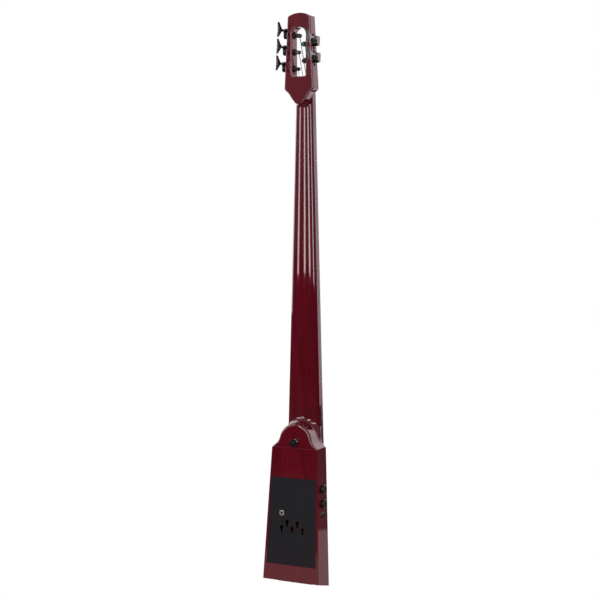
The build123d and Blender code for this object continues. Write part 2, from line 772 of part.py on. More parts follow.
with BuildPart() as strap_button_screw:
    with BuildSketch(heel_profile):
        with BuildLine():
            Polyline(*BUTTON_HEAD, close=True)
        make_face()
    revolve(axis=Axis(heel_centre.origin, heel_centre.z_dir))
    with BuildSketch(heel_centre.offset(-22)):
        Circle(BUTTON_SCREW_R)
    extrude(amount=30)
    with BuildSketch(heel_centre.offset(9)):
        Rectangle(5, 0.9)
        Rectangle(0.9, 5)
    extrude(amount=3, mode=Mode.SUBTRACT)
save(strap_button_screw.part, "strap_button_screw")

# ---- tail plate, its screws and the string balls
BALL_R = 2.9
BALL_LENGTH = 4.4
BALL_SEAT_R = 3.4
TAIL_SCREW_LENGTH = 18
ball_spots = [(TAIL_SPACING * i, TAIL_V) for i in range(-2, 3)]

with BuildPart() as tail_plate:
    with BuildSketch(end_plane.offset(-TAIL_INSET)):
        with BuildLine():
            Polyline(
                (-TAIL_HALF_FRONT, TAIL_PLATE_FRONT),
                (TAIL_HALF_FRONT, TAIL_PLATE_FRONT),
                (TAIL_HALF_REAR, TAIL_PLATE_REAR),
                (-TAIL_HALF_REAR, TAIL_PLATE_REAR),
                close=True,
            )
        make_face()
    extrude(amount=TAIL_INSET + TAIL_PROUD)
    lower_face = tail_plate.faces().sort_by(Axis(end_plane.origin, end_plane.z_dir))[-1]
    chamfer(lower_face.edges(), 0.6)
    with BuildSketch(end_plane.offset(TAIL_PROUD)):
        with Locations(*ball_spots):
            Circle(BALL_SEAT_R)
    extrude(amount=-BALL_LENGTH - 0.2, mode=Mode.SUBTRACT)
    with BuildSketch(end_plane.offset(TAIL_PROUD + 1)):
        with Locations(*TAIL_SCREWS):
            Circle(1.6)
    extrude(amount=-10, mode=Mode.SUBTRACT)
    with BuildSketch(end_plane.offset(TAIL_PROUD + 1)):
        with Locations(*TAIL_SCREWS):
            Circle(COVER_SCREW_HEAD_R + 0.1)
    extrude(amount=-3, mode=Mode.SUBTRACT)
    for tunnel in string_tunnels:
        add(tunnel, mode=Mode.SUBTRACT)
save(tail_plate.part, "tail_plate")

with BuildPart() as tail_plate_screws:
    with BuildSketch(end_plane.offset(-TAIL_SCREW_LENGTH)):
        with Locations(*TAIL_SCREWS):
            Circle(SCREW_HOLE_R)
    extrude(amount=TAIL_SCREW_LENGTH + TAIL_PROUD - 2)
    with BuildSketch(end_plane.offset(TAIL_PROUD - 2)):
        with Locations(*TAIL_SCREWS):
            Circle(COVER_SCREW_HEAD_R)
    extrude(amount=1.6)
    with BuildSketch(end_plane.offset(TAIL_PROUD)):
        with Locations(*TAIL_SCREWS):
            Rectangle(CROSS_LENGTH, CROSS_WIDTH)
            Rectangle(CROSS_WIDTH, CROSS_LENGTH)
    extrude(amount=-1.2, mode=Mode.SUBTRACT)
save(tail_plate_screws.part, "tail_plate_screws")

with BuildPart() as ball_ends:
    with BuildSketch(end_plane.offset(TAIL_PROUD)):
        with Locations(*ball_spots):
            Circle(BALL_R)
    extrude(amount=-BALL_LENGTH)
    fillet(ball_ends.edges().filter_by(GeomType.CIRCLE), 0.8)
    for tunnel in string_clearance:
        add(tunnel, mode=Mode.SUBTRACT)
save(ball_ends.part, "ball_ends")

for i, name in enumerate(STRING_NAMES):
    save(strings[i], f"string_{name}")

# ---- bridge: piezo pads, foot, two adjusters and the moving bridge
PAD_T = 1.2
FOOT_HALF = 44
FOOT_DEEP = 14
FOOT_CORNER = 5
FOOT_LOW = PAD_T
FOOT_TOP = 8.2
PIN_R = 2
WHEEL_R = 9
WHEEL_LOW = FOOT_TOP + 0.1
WHEEL_TOP = 11.8
THREAD_R = 2.5
THREAD_TOP = 26
BRIDGE_LOW = 16
BRIDGE_HALF = 43
BRIDGE_THICK = 8
BRIDGE_TRAVEL = 4
SLAB_LENGTH = 12
SLAB_HEIGHT = 12
SLAB_WIDER = 0.04
CROWN_ABOVE = 0.9
WINDOW_HALF = 14
WINDOW_RISE = 11
EYE_X = 22
EYE_W = 38
EYE_R = 4.5
BLADE_LOW = BRIDGE_LOW + 14
CROWN_HALF_T = 1.6
crown_w = (front_y(BRIDGE_Z) - BRIDGE_CROWN_Y) / cos(front_angle) + CROWN_ABOVE
crown_edge_w = crown_w - (BRIDGE_CROWN_R - sqrt(BRIDGE_CROWN_R**2 - BRIDGE_HALF**2))
# upright plane through the bridge: x to the treble side, y outwards, normal along the strings
bridge_face = Plane(origin=bridge_plane.origin, x_dir=(1, 0, 0), z_dir=-bridge_plane.y_dir)

with BuildPart() as piezo_pads:
    with BuildSketch(bridge_plane):
        with Locations((-ADJUSTER_X, 0), (ADJUSTER_X, 0)):
            RectangleRounded(30, 10, 2)
    extrude(amount=PAD_T)
save(piezo_pads.part, "piezo_pads")

with BuildPart() as bridge_foot:
    with BuildSketch(bridge_plane.offset(FOOT_LOW)):
        RectangleRounded(2 * FOOT_HALF, FOOT_DEEP, FOOT_CORNER)
    extrude(amount=FOOT_TOP - FOOT_LOW)
    chamfer(bridge_foot.faces().sort_by(Axis.Y)[0].edges(), 0.8)
    with BuildSketch(bridge_plane.offset(FOOT_TOP)):
        with Locations((-ADJUSTER_X, 0), (ADJUSTER_X, 0)):
            Circle(PIN_R + RUN)
    extrude(amount=-5, mode=Mode.SUBTRACT)
save(bridge_foot.part, "bridge_foot")


def adjuster(x, label):
    """Thumbwheel with a plain pin below and a threaded stem above."""
    with BuildPart() as wheel:
        with BuildSketch(bridge_plane.offset(WHEEL_LOW)):
            with Locations((x, 0)):
                Circle(WHEEL_R)
            with Locations((x, 0)):
                with PolarLocations(WHEEL_R + 0.35, 24):
                    Circle(0.8, mode=Mode.SUBTRACT)
        extrude(amount=WHEEL_TOP - WHEEL_LOW)
        with BuildSketch(bridge_plane.offset(FOOT_TOP - 4.8)):
            with Locations((x, 0)):
                Circle(PIN_R)
        extrude(amount=5)
        with BuildSketch(bridge_plane.offset(WHEEL_TOP)):
            with Locations((x, 0)):
                Circle(THREAD_R)
        extrude(amount=THREAD_TOP - WHEEL_TOP)
    save(wheel.part, label)


adjuster(-ADJUSTER_X, "adjuster_bass")
adjuster(ADJUSTER_X, "adjuster_treble")


def string_slabs(index):
    """Two flat slabs that a string sweeps as the bridge moves down and leaves it behind."""
    tail, crown, nut_point, _ = [Vector(*point) for point in string_points(index)]
    slabs = []
    for other in (tail, nut_point):
        along = (other - crown).normalized()
        across = Vector(0, -1, 0).cross(along)
        slab = Box(2 * (STRING_R[index] + RUN + SLAB_WIDER), SLAB_HEIGHT, SLAB_LENGTH)
        place = Plane(origin=crown, x_dir=across, z_dir=along)
        slabs.append(place.location * Pos(0, SLAB_HEIGHT / 2, SLAB_LENGTH / 2 - 1) * slab)
    return slabs


bridge_slabs = [slab for index in range(5) for slab in string_slabs(index)]

with BuildPart() as bridge:
    with BuildSketch(bridge_face):
        with BuildLine():
            Polyline(
                (-BRIDGE_HALF, crown_edge_w),
                (-BRIDGE_HALF + 1, BRIDGE_LOW),
                (-WINDOW_HALF, BRIDGE_LOW),
            )
            ThreePointArc(
                (-WINDOW_HALF, BRIDGE_LOW), (0, BRIDGE_LOW + WINDOW_RISE), (WINDOW_HALF, BRIDGE_LOW)
            )
            Polyline(
                (WINDOW_HALF, BRIDGE_LOW), (BRIDGE_HALF - 1, BRIDGE_LOW), (BRIDGE_HALF, crown_edge_w)
            )
            ThreePointArc((BRIDGE_HALF, crown_edge_w), (0, crown_w), (-BRIDGE_HALF, crown_edge_w))
        make_face()
        with Locations((-EYE_X, EYE_W), (EYE_X, EYE_W)):
            Circle(EYE_R, mode=Mode.SUBTRACT)
    extrude(amount=BRIDGE_THICK / 2, both=True)
    # the back and front lean in towards the crown
    for side in (-1, 1):
        with BuildSketch(Plane(origin=bridge_plane.origin, x_dir=bridge_plane.y_dir, z_dir=(1, 0, 0))):
            with BuildLine():
                Polyline(
                    (side * (BRIDGE_THICK / 2 + 1), BLADE_LOW),
                    (side * BRIDGE_THICK / 2, BLADE_LOW),
                    (side * CROWN_HALF_T, crown_w + 0.5),
                    (side * (BRIDGE_THICK / 2 + 1), crown_w + 0.5),
                    close=True,
                )
            make_face()
        extrude(amount=BRIDGE_HALF + 5, both=True, mode=Mode.SUBTRACT)
    with BuildSketch(bridge_plane.offset(BRIDGE_LOW)):
        with Locations((-ADJUSTER_X, 0), (ADJUSTER_X, 0)):
            Circle(THREAD_R + RUN)
    extrude(amount=THREAD_TOP - BRIDGE_LOW + BRIDGE_TRAVEL + 1, mode=Mode.SUBTRACT)
    for slab in bridge_slabs:
        add(slab, mode=Mode.SUBTRACT)
    for clearance in string_clearance:
        add(clearance, mode=Mode.SUBTRACT)
save(bridge.part, "bridge")

# ---- side controls: potentiometers, shafts, knobs, jack and wiring
POT_BODY_R = 8
POT_BODY_LENGTH = 8
POT_BUSHING_TOP = 2.4
POT_NUT_R = 5.6
POT_NUT_T = 1.9
SHAFT_R = 2.5
SHAFT_TOP = 8
KNOB_GAP = 0.5
KNOB_HOLLOW_R = 7
KNOB_HOLLOW = 3
FLUTES = 30
FLUTE_R = 0.75
JACK_BORE_R = 3.25
JACK_BACK = 21
JACK_NUT_R = 7.35
JACK_NUT_T = 3

for plane, name in zip(control_planes, ("volume", "tone")):
    with BuildPart() as pot:
        with BuildSketch(plane.offset(-POT_WALL)):
            Circle(POT_BODY_R)
        extrude(amount=-POT_BODY_LENGTH)
        with BuildSketch(plane.offset(-POT_WALL)):
            Circle(POT_BUSHING_R)
        extrude(amount=POT_WALL + POT_BUSHING_TOP)
        with BuildSketch(plane.offset(0.1)):
            RegularPolygon(POT_NUT_R, 6)
        extrude(amount=POT_NUT_T)
        with BuildSketch(plane.offset(POT_BUSHING_TOP + 1)):
            Circle(SHAFT_R + RUN)
        extrude(amount=-(POT_WALL + POT_BUSHING_TOP + 1 + POT_BODY_LENGTH - 2), mode=Mode.SUBTRACT)
    save(pot.part, f"{name}_pot")

    with BuildPart() as shaft:
        with BuildSketch(plane.offset(-POT_WALL - POT_BODY_LENGTH + 2.5)):
            Circle(SHAFT_R)
        extrude(amount=POT_WALL + POT_BODY_LENGTH - 2.5 + SHAFT_TOP)
    save(shaft.part, f"{name}_shaft")

    with BuildPart() as knob:
        with BuildSketch(plane.offset(KNOB_GAP)):
            Circle(KNOB_R)
        extrude(amount=KNOB_H)
        fillet(knob.edges().sort_by(Axis(plane.origin, plane.z_dir))[-1], 1.5)
        with BuildSketch(plane.offset(KNOB_GAP)):
            with PolarLocations(KNOB_R + 0.45, FLUTES):
                Circle(FLUTE_R)
        extrude(amount=KNOB_H - 2.2, mode=Mode.SUBTRACT)
        with BuildSketch(plane.offset(KNOB_GAP)):
            Circle(KNOB_HOLLOW_R)
        extrude(amount=KNOB_HOLLOW, mode=Mode.SUBTRACT)
        with BuildSketch(plane.offset(KNOB_GAP)):
            Circle(SHAFT_R)
        extrude(amount=SHAFT_TOP - KNOB_GAP, mode=Mode.SUBTRACT)
        # pointer groove across the rim of the cap
        with BuildSketch(plane.offset(KNOB_GAP + KNOB_H)):
            with Locations((0, KNOB_R - 3.5)):
                Rectangle(0.9, 5)
        extrude(amount=-0.5, mode=Mode.SUBTRACT)
    save(knob.part, f"{name}_knob")

with BuildPart() as output_jack:
    with BuildSketch(jack_plane.offset(-JACK_BACK)):
        Circle(JACK_R)
    extrude(amount=JACK_BACK + JACK_NUT_T + 0.8)
    with BuildSketch(jack_plane.offset(-JACK_BACK + 2)):
        Circle(JACK_BORE_R)
    extrude(amount=JACK_BACK + JACK_NUT_T + 2, mode=Mode.SUBTRACT)
save(output_jack.part, "output_jack")

with BuildPart() as jack_nut:
    with BuildSketch(jack_plane.offset(0.05)):
        Circle(JACK_NUT_R)
        Circle(JACK_R + RUN, mode=Mode.SUBTRACT)
    extrude(amount=0.8)
    with BuildSketch(jack_plane.offset(0.85)):
        RegularPolygon(JACK_NUT_R - 0.3, 6)
        Circle(JACK_R + RUN, mode=Mode.SUBTRACT)
    extrude(amount=JACK_NUT_T - 0.8)
save(jack_nut.part, "jack_nut")

WIRE_R = 0.9
cavity_floor = CAVITY_DEPTH - 4


def inside(x, z, depth):
    """Point in the control cavity, depth below the rear face."""
    return (x, rear_y(z) - depth, z)


WIRE_RUNS = (
    (inside(-38, 238, cavity_floor), inside(-30, 222, cavity_floor), inside(-38, 204, cavity_floor)),
    (inside(-38, 200, 22), inside(-30, 188, 24), inside(-38, 176, 22)),
    (inside(0, 140, cavity_floor), inside(-14, 190, 20), inside(-36, 234, 18)),
)

with BuildPart() as wiring:
    for run in WIRE_RUNS:
        with BuildLine() as path:
            Spline(*run)
        with BuildSketch(Plane(origin=path.line @ 0, z_dir=path.line % 0)):
            Circle(WIRE_R)
        sweep(path=path.line)
save(wiring.part, "wiring")

# ---- tuners, each piece made once in the tuner's own frame and then seated
# x runs to the back along the worm, y runs up the side, z points outwards along the post
GEAR_T = 3
GEAR_TIP_R = gear_pitch_r + MODULE * 0.92
GEAR_ROOT_R = gear_pitch_r - MODULE
GEAR_SEAT_R = 3
TOOTH_ROOT = 0.95
TOOTH_TIP = 0.4
THREAD_TURNS = 5
THREAD_ROOT_R = WORM_PITCH_R - 0.8
THREAD_TIP_R = WORM_PITCH_R + 0.5
THREAD_ROOT = 1.05
THREAD_TIP = 0.4
JOURNAL_R = 2
STEM_R = 3
HOUSING_HALF = 10
HOUSING_WALL = 1.1
HOUSING_ROUND_R = 8.5
HOUSING_TOP = 15.5
STEM_END = 13
SPIGOT_END = 17
KEY_START = 10.4
KEY_NECK = 24
KEY_END = 48
KEY_HALF = 17.5
KEY_THICK = 6.5
KEY_TIP = KEY_HALF - 1.6
KEY_WEB = 5.6
COLLAR_R = 4.4
KEY_NECK_R = 2.6
BASS_KEY_TURN = -6

worm_plane = Plane(origin=(0, worm_up, WORM_OUT), x_dir=(0, -1, 0), z_dir=(1, 0, 0))

with BuildPart() as post_blank:
    Cylinder(POST_R, POST_LENGTH + 4.4, align=(Align.CENTER, Align.CENTER, Align.MIN))
    with BuildSketch(Plane.XY.offset(POST_LENGTH + 4.4)):
        Circle(GEAR_SEAT_R)
    extrude(amount=4)
    with BuildSketch(Plane.XZ):
        with BuildLine():
            Polyline((POST_WAIST_R + 0.01, 10), (POST_WAIST_R, 5), (POST_R, 3.4), (POST_R + 1, 3.4))
            Polyline((POST_R + 1, 3.4), (POST_R + 1, 11), (POST_R, 11), (POST_WAIST_R + 0.01, 10))
        make_face()
    revolve(axis=Axis.Z, mode=Mode.SUBTRACT)
    chamfer(post_blank.edges().sort_by(Axis.Z)[0], 0.6)
    with Locations(Location((0, 0, 7), (90, 0, 0))):
        Hole(1.0, depth=20)
post = Pos(0, 0, -POST_LENGTH) * post_blank.part

with BuildPart() as gear:
    with BuildSketch(Plane.XY.offset(WORM_OUT - GEAR_T / 2)):
        Circle(GEAR_ROOT_R + 0.05)
        with PolarLocations(0, GEAR_TEETH):
            Polygon(
                (GEAR_ROOT_R - 0.3, -TOOTH_ROOT / 2),
                (GEAR_TIP_R, -TOOTH_TIP / 2),
                (GEAR_TIP_R, TOOTH_TIP / 2),
                (GEAR_ROOT_R - 0.3, TOOTH_ROOT / 2),
                align=None,
            )
        Circle(GEAR_SEAT_R, mode=Mode.SUBTRACT)
    extrude(amount=GEAR_T)

thread_length = THREAD_TURNS * thread_pitch
with BuildPart() as worm_blank:
    Cylinder(THREAD_ROOT_R, thread_length + 2.4)
    with BuildLine():
        helix = Helix(thread_pitch, thread_length, THREAD_ROOT_R, center=(0, 0, -thread_length / 2))
    with BuildSketch(Plane(origin=(THREAD_ROOT_R, 0, -thread_length / 2), x_dir=(1, 0, 0), z_dir=(0, 1, 0))):
        Polygon(
            (-0.3, -THREAD_ROOT / 2),
            (THREAD_TIP_R - THREAD_ROOT_R, -THREAD_TIP / 2),
            (THREAD_TIP_R - THREAD_ROOT_R, THREAD_TIP / 2),
            (-0.3, THREAD_ROOT / 2),
            align=None,
        )
    sweep(path=helix, is_frenet=True)
    with BuildSketch(Plane.XY.offset(-HOUSING_HALF + 1.2)):
        Circle(JOURNAL_R)
    extrude(amount=5)
    with BuildSketch(Plane.XY.offset(thread_length / 2 + 1)):
        Circle(STEM_R)
    extrude(amount=STEM_END - thread_length / 2 - 1)
    with BuildSketch(Plane.XY.offset(STEM_END)):
        Circle(JOURNAL_R)
    extrude(amount=SPIGOT_END - STEM_END)
worm = worm_plane.location * worm_blank.part

key_side = Plane(origin=(0, worm_up, WORM_OUT), x_dir=(1, 0, 0), z_dir=(0, 0, 1))
with BuildPart() as key:
    with BuildSketch(key_side):
        with BuildLine():
            Line((KEY_START, 0), (KEY_START, COLLAR_R))
            ThreePointArc((KEY_START, COLLAR_R), (16, 3.5), (KEY_NECK, KEY_NECK_R))
            Line((KEY_NECK, KEY_NECK_R), (KEY_NECK + 2, 0))
            Line((KEY_NECK + 2, 0), (KEY_START, 0))
        make_face()
    revolve(axis=Axis(key_side.origin, (1, 0, 0)))
    with BuildSketch(key_side.offset(-KEY_THICK / 2)):
        with BuildLine():
            ThreePointArc((KEY_NECK - 2, 2.3), (KEY_END - 11, KEY_WEB), (KEY_END - 6, KEY_TIP))
            ThreePointArc((KEY_END - 6, KEY_TIP), (KEY_END - 3, KEY_HALF), (KEY_END, KEY_TIP))
            ThreePointArc((KEY_END, KEY_TIP), (KEY_END - 1.6, 0), (KEY_END, -KEY_TIP))
            ThreePointArc((KEY_END, -KEY_TIP), (KEY_END - 3, -KEY_HALF), (KEY_END - 6, -KEY_TIP))
            ThreePointArc((KEY_END - 6, -KEY_TIP), (KEY_END - 11, -KEY_WEB), (KEY_NECK - 2, -2.3))
            Line((KEY_NECK - 2, -2.3), (KEY_NECK - 2, 2.3))
        make_face()
    extrude(amount=KEY_THICK)
    with BuildSketch(worm_plane.offset(KEY_START)):
        Circle(STEM_R)
    extrude(amount=STEM_END - KEY_START, mode=Mode.SUBTRACT)
    with BuildSketch(worm_plane.offset(STEM_END)):
        Circle(JOURNAL_R)
    extrude(amount=SPIGOT_END - STEM_END, mode=Mode.SUBTRACT)


def tuner_footprint(margin):
    """Sketch of the housing's outline: round about the post, square about the worm."""
    with BuildSketch(Plane.XY) as outline:
        Circle(HOUSING_ROUND_R + margin)
        with Locations((0, (4 + HOUSING_TOP) / 2)):
            Rectangle(2 * (HOUSING_HALF + margin), HOUSING_TOP - 4 + 2 * margin)
    return outline.sketch


with BuildPart() as housing:
    add(tuner_footprint(0))
    extrude(amount=HOUSING_OUT)
    outer_rim = housing.faces().sort_by(Axis.Z)[-1].edges()
    fillet(outer_rim, 1.6)
    Cylinder(HOUSING_ROUND_R - HOUSING_WALL, 2 * 9.6, mode=Mode.SUBTRACT)
    with Locations((0, worm_up, WORM_OUT / 2)):
        Box(13.6, 2 * (THREAD_TIP_R + 0.2), WORM_OUT, mode=Mode.SUBTRACT)
    with Locations(worm_plane):
        Cylinder(THREAD_TIP_R + 0.2, 13.6, mode=Mode.SUBTRACT)
        Cylinder(JOURNAL_R + RUN, 18, mode=Mode.SUBTRACT)
    with BuildSketch(worm_plane):
        Circle(STEM_R + RUN)
    extrude(amount=HOUSING_HALF + 2, mode=Mode.SUBTRACT)
    with BuildSketch(Plane.XY.offset(-1)):
        add(tuner_footprint(3))
    extrude(amount=1 + PLATE_T, mode=Mode.SUBTRACT)

with BuildPart() as plate:
    add(tuner_footprint(0))
    with BuildSketch(Plane.XY):
        for lug in (LUG_UP, LUG_DOWN):
            with Locations((0, lug)):
                Circle(LUG_R)
            with Locations((0, lug * 0.8)):
                Rectangle(2 * LUG_R, abs(lug) * 0.4)
    extrude(amount=PLATE_T)
    Cylinder(POST_R + 0.1, 10, mode=Mode.SUBTRACT)
    for lug in (LUG_UP, LUG_DOWN):
        with Locations((0, lug, 0)):
            Cylinder(TUNER_SCREW_R, 10, mode=Mode.SUBTRACT)

with BuildPart() as screws:
    for lug in (LUG_UP, LUG_DOWN):
        with BuildSketch(Plane.XY.offset(PLATE_T)):
            with Locations((0, lug)):
                Circle(2.3)
        extrude(amount=1.2)
        with BuildSketch(Plane.XY.offset(PLATE_T)):
            with Locations((0, lug)):
                Circle(TUNER_SCREW_R)
        extrude(amount=-TUNER_SCREW_DEPTH)
        with BuildSketch(Plane.XY.offset(PLATE_T + 0.6)):
            with Locations((0, lug)):
                Rectangle(3, 0.6)
                Rectangle(0.6, 3)
        extrude(amount=2, mode=Mode.SUBTRACT)


def bushing(z):
    """Flanged sleeve through one cheek, flange on the slot side."""
    depth = cheek(z)
    with BuildPart() as sleeve:
        with BuildSketch(Plane.XY.offset(-depth + SEAT_DEPTH - FLANGE_T)):
            Circle(FLANGE_R)
        extrude(amount=FLANGE_T)
        fillet(sleeve.edges().sort_by(Axis.Z)[0], 0.8)
        with BuildSketch(Plane.XY.offset(-depth + SEAT_DEPTH)):
            Circle(BUSHING_R)
        extrude(amount=depth - SEAT_DEPTH)
        with BuildSketch(Plane.XY.offset(1)):
            Circle(POST_R + RUN)
        extrude(amount=-depth - FLANGE_T - 2, mode=Mode.SUBTRACT)
    return sleeve.part


def turned(part, angle):
    """Turn a piece about the worm's axis."""
    return part.rotate(Axis(worm_plane.origin, worm_plane.z_dir), angle)


for number, (side, z) in enumerate(TUNER_SIDES, start=1):
    turn = BASS_KEY_TURN if side < 0 else 0
    save(seat(post, side, z), f"post_{number}")
    save(seat(gear.part, side, z), f"gear_{number}")
    save(seat(worm, side, z), f"worm_{number}")
    save(seat(turned(key.part, turn), side, z), f"key_{number}")

save(Compound([seat(housing.part, side, z) for side, z in TUNER_SIDES]), "tuner_housings")
save(Compound([seat(plate.part, side, z) for side, z in TUNER_SIDES]), "tuner_plates")
save(Compound([seat(screws.part, side, z) for side, z in TUNER_SIDES]), "tuner_screws")
save(Compound([seat(bushing(z), side, z) for side, z in TUNER_SIDES]), "tuner_bushings")
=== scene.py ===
import json
from math import atan, cos, pi, radians, sin

import bpy
import numpy as np
from mathutils import Matrix, Vector

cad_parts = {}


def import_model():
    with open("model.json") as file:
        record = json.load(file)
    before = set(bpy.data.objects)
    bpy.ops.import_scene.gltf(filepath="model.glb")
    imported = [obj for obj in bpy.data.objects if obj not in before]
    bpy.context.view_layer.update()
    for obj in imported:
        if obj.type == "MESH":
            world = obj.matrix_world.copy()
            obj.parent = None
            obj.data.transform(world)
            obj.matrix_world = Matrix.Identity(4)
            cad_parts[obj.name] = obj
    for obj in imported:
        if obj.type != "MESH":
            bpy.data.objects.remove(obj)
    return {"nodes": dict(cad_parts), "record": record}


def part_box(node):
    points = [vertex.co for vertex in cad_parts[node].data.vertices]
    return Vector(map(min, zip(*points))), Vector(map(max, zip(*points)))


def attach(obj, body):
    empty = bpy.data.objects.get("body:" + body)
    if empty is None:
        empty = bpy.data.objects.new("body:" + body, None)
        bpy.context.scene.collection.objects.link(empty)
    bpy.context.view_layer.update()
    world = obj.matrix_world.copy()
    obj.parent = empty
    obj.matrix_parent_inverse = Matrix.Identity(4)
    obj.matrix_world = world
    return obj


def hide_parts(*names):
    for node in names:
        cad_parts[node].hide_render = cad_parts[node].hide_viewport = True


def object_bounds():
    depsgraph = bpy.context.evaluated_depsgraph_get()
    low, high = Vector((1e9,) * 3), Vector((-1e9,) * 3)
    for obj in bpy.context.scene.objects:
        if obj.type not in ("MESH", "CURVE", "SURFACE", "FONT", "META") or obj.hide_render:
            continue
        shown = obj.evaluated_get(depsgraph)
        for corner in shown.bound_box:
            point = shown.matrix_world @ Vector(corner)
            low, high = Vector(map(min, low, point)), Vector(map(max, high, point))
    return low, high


# Five-string electric upright bass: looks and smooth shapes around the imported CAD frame.
# The CAD frame: z = 0 is the lowest edge, +Z runs up the neck, -Y is the string side.
# Lengths in the shape functions are millimetres; Blender's are metres. The shape functions put
# y = 0 at the glue plane between neck and fingerboard, ORIGIN_Y in front of the frame's origin.

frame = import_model()
cad_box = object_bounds()
nodes = frame["nodes"]
MM = 0.001


# ================================================================ node helper
def node(tree, kind, inputs=None, **settings):
    """Add a shader node; socket values are set and sockets are linked. Returns the node."""
    made = tree.nodes.new(kind)
    for name, value in settings.items():
        setattr(made, name, value)
    for name, value in (inputs or {}).items():
        if isinstance(value, bpy.types.NodeSocket):
            tree.links.new(value, made.inputs[name])
        else:
            made.inputs[name].default_value = value
    return made


def start_material(name):
    """Empty node material with a Principled shader. Returns material, tree and shader."""
    material = bpy.data.materials.new(name)
    material.use_nodes = True
    tree = material.node_tree
    shader = tree.nodes["Principled BSDF"]
    return material, tree, shader


def object_noise(tree, scale, stretch=(1, 1, 1), detail=4.0, distortion=0.0):
    """Noise in the piece's own space, stretched per axis. Returns its value socket."""
    place = node(tree, "ShaderNodeTexCoord").outputs["Object"]
    spread = node(tree, "ShaderNodeMapping", {"Vector": place, "Scale": stretch})
    noise = node(
        tree,
        "ShaderNodeTexNoise",
        {"Vector": spread.outputs["Vector"], "Scale": scale, "Detail": detail, "Distortion": distortion},
    )
    return noise.outputs["Fac"]


def ramp(tree, value, low, high, at=(0.0, 1.0)):
    """Colour ramp between two colours. Returns its colour socket."""
    made = node(tree, "ShaderNodeValToRGB", {"Fac": value})
    made.color_ramp.elements[0].position = at[0]
    made.color_ramp.elements[1].position = at[1]
    made.color_ramp.elements[0].color = (*low, 1)
    made.color_ramp.elements[1].color = (*high, 1)
    return made.outputs["Color"]


def remap(tree, value, low, high, source=(0.0, 1.0)):
    """Linear remap of a value, clamped. Returns the result socket."""
    made = node(
        tree,
        "ShaderNodeMapRange",
        {"Value": value, "From Min": source[0], "From Max": source[1], "To Min": low, "To Max": high},
    )
    return made.outputs["Result"]


def mix(tree, share, first, second):
    """Mix two colours by a share. Returns the colour socket."""
    made = node(tree, "ShaderNodeMix", data_type="RGBA")
    for index, value in ((0, share), (6, first), (7, second)):
        if isinstance(value, bpy.types.NodeSocket):
            tree.links.new(value, made.inputs[index])
        elif index == 0:
            made.inputs[index].default_value = value
        else:
            made.inputs[index].default_value = (*value, 1)
    return made.outputs[2]


def rounded_normal(tree, radius):
    """Normal with the edges rounded off, and how much it differs from the true normal."""
    bevel = node(tree, "ShaderNodeBevel", {"Radius": radius}, samples=4).outputs["Normal"]
    true_normal = node(tree, "ShaderNodeNewGeometry").outputs["Normal"]
    dot = node(tree, "ShaderNodeVectorMath", {0: bevel, 1: true_normal}, operation="DOT_PRODUCT")
    edge = remap(tree, dot.outputs["Value"], 1.0, 0.0, source=(0.75, 0.995))
    return bevel, edge


def bump(tree, height, strength, distance, normal=None):
    """Bump node. Returns the normal socket."""
    inputs = {"Height": height, "Strength": strength, "Distance": distance}
    if normal is not None:
        inputs["Normal"] = normal
    return node(tree, "ShaderNodeBump", inputs).outputs["Normal"]


def fill(shader, **values):
    """Set or link Principled inputs given by name, with underscores for spaces."""
    tree = shader.id_data
    for name, value in values.items():
        socket = shader.inputs[name.replace("_", " ")]
        if isinstance(value, bpy.types.NodeSocket):
            tree.links.new(value, socket)
        else:
            socket.default_value = value


# ================================================================ materials
def lacquered_wood():
    """Translucent burgundy lacquer: wood figure under a clear, very smooth top coat."""
    material, tree, shader = start_material("lacquered_wood")
    fibres = object_noise(tree, 900, stretch=(1, 1, 0.02), detail=6.0, distortion=0.4)
    figure = object_noise(tree, 26, stretch=(1, 1, 0.10), detail=3.0, distortion=1.2)
    wood = ramp(tree, fibres, (0.066, 0.0021, 0.0062), (0.100, 0.0042, 0.0118), at=(0.3, 0.72))
    shade = ramp(tree, figure, (0.80, 0.76, 0.78), (1.10, 1.08, 1.06), at=(0.34, 0.66))
    toned = node(tree, "ShaderNodeVectorMath", {0: wood, 1: shade}, operation="MULTIPLY").outputs[0]
    peel = object_noise(tree, 330, detail=2.0)
    fill(
        shader,
        Base_Color=toned,
        Roughness=0.5,
        Specular_IOR_Level=0.0,
        Coat_Weight=1.0,
        Coat_Roughness=remap(tree, peel, 0.03, 0.055),
        Coat_IOR=1.5,
        Normal=bump(tree, fibres, 0.05, 0.0002),
        Coat_Normal=bump(tree, peel, 0.02, 0.0004),
    )
    return material


def dark_board():
    """Close-grained near-black fingerboard wood, oiled, with open pores along the grain."""
    material, tree, shader = start_material("dark_board")
    pores = object_noise(tree, 1400, stretch=(1, 1, 0.03), detail=5.0)
    bands = object_noise(tree, 60, stretch=(1, 1, 0.04), detail=3.0, distortion=0.8)
    dark = ramp(tree, bands, (0.010, 0.008, 0.008), (0.030, 0.022, 0.019), at=(0.35, 0.65))
    colour = mix(tree, remap(tree, pores, 0.0, 0.5, source=(0.55, 0.75)), dark, (0.05, 0.035, 0.03))
    smooth, _ = rounded_normal(tree, 0.0005)
    fill(
        shader,
        Base_Color=colour,
        Roughness=remap(tree, pores, 0.2, 0.34),
        Specular_IOR_Level=0.5,
        Sheen_Weight=0.05,
        Normal=bump(tree, pores, 0.12, 0.0003, smooth),
    )
    return material


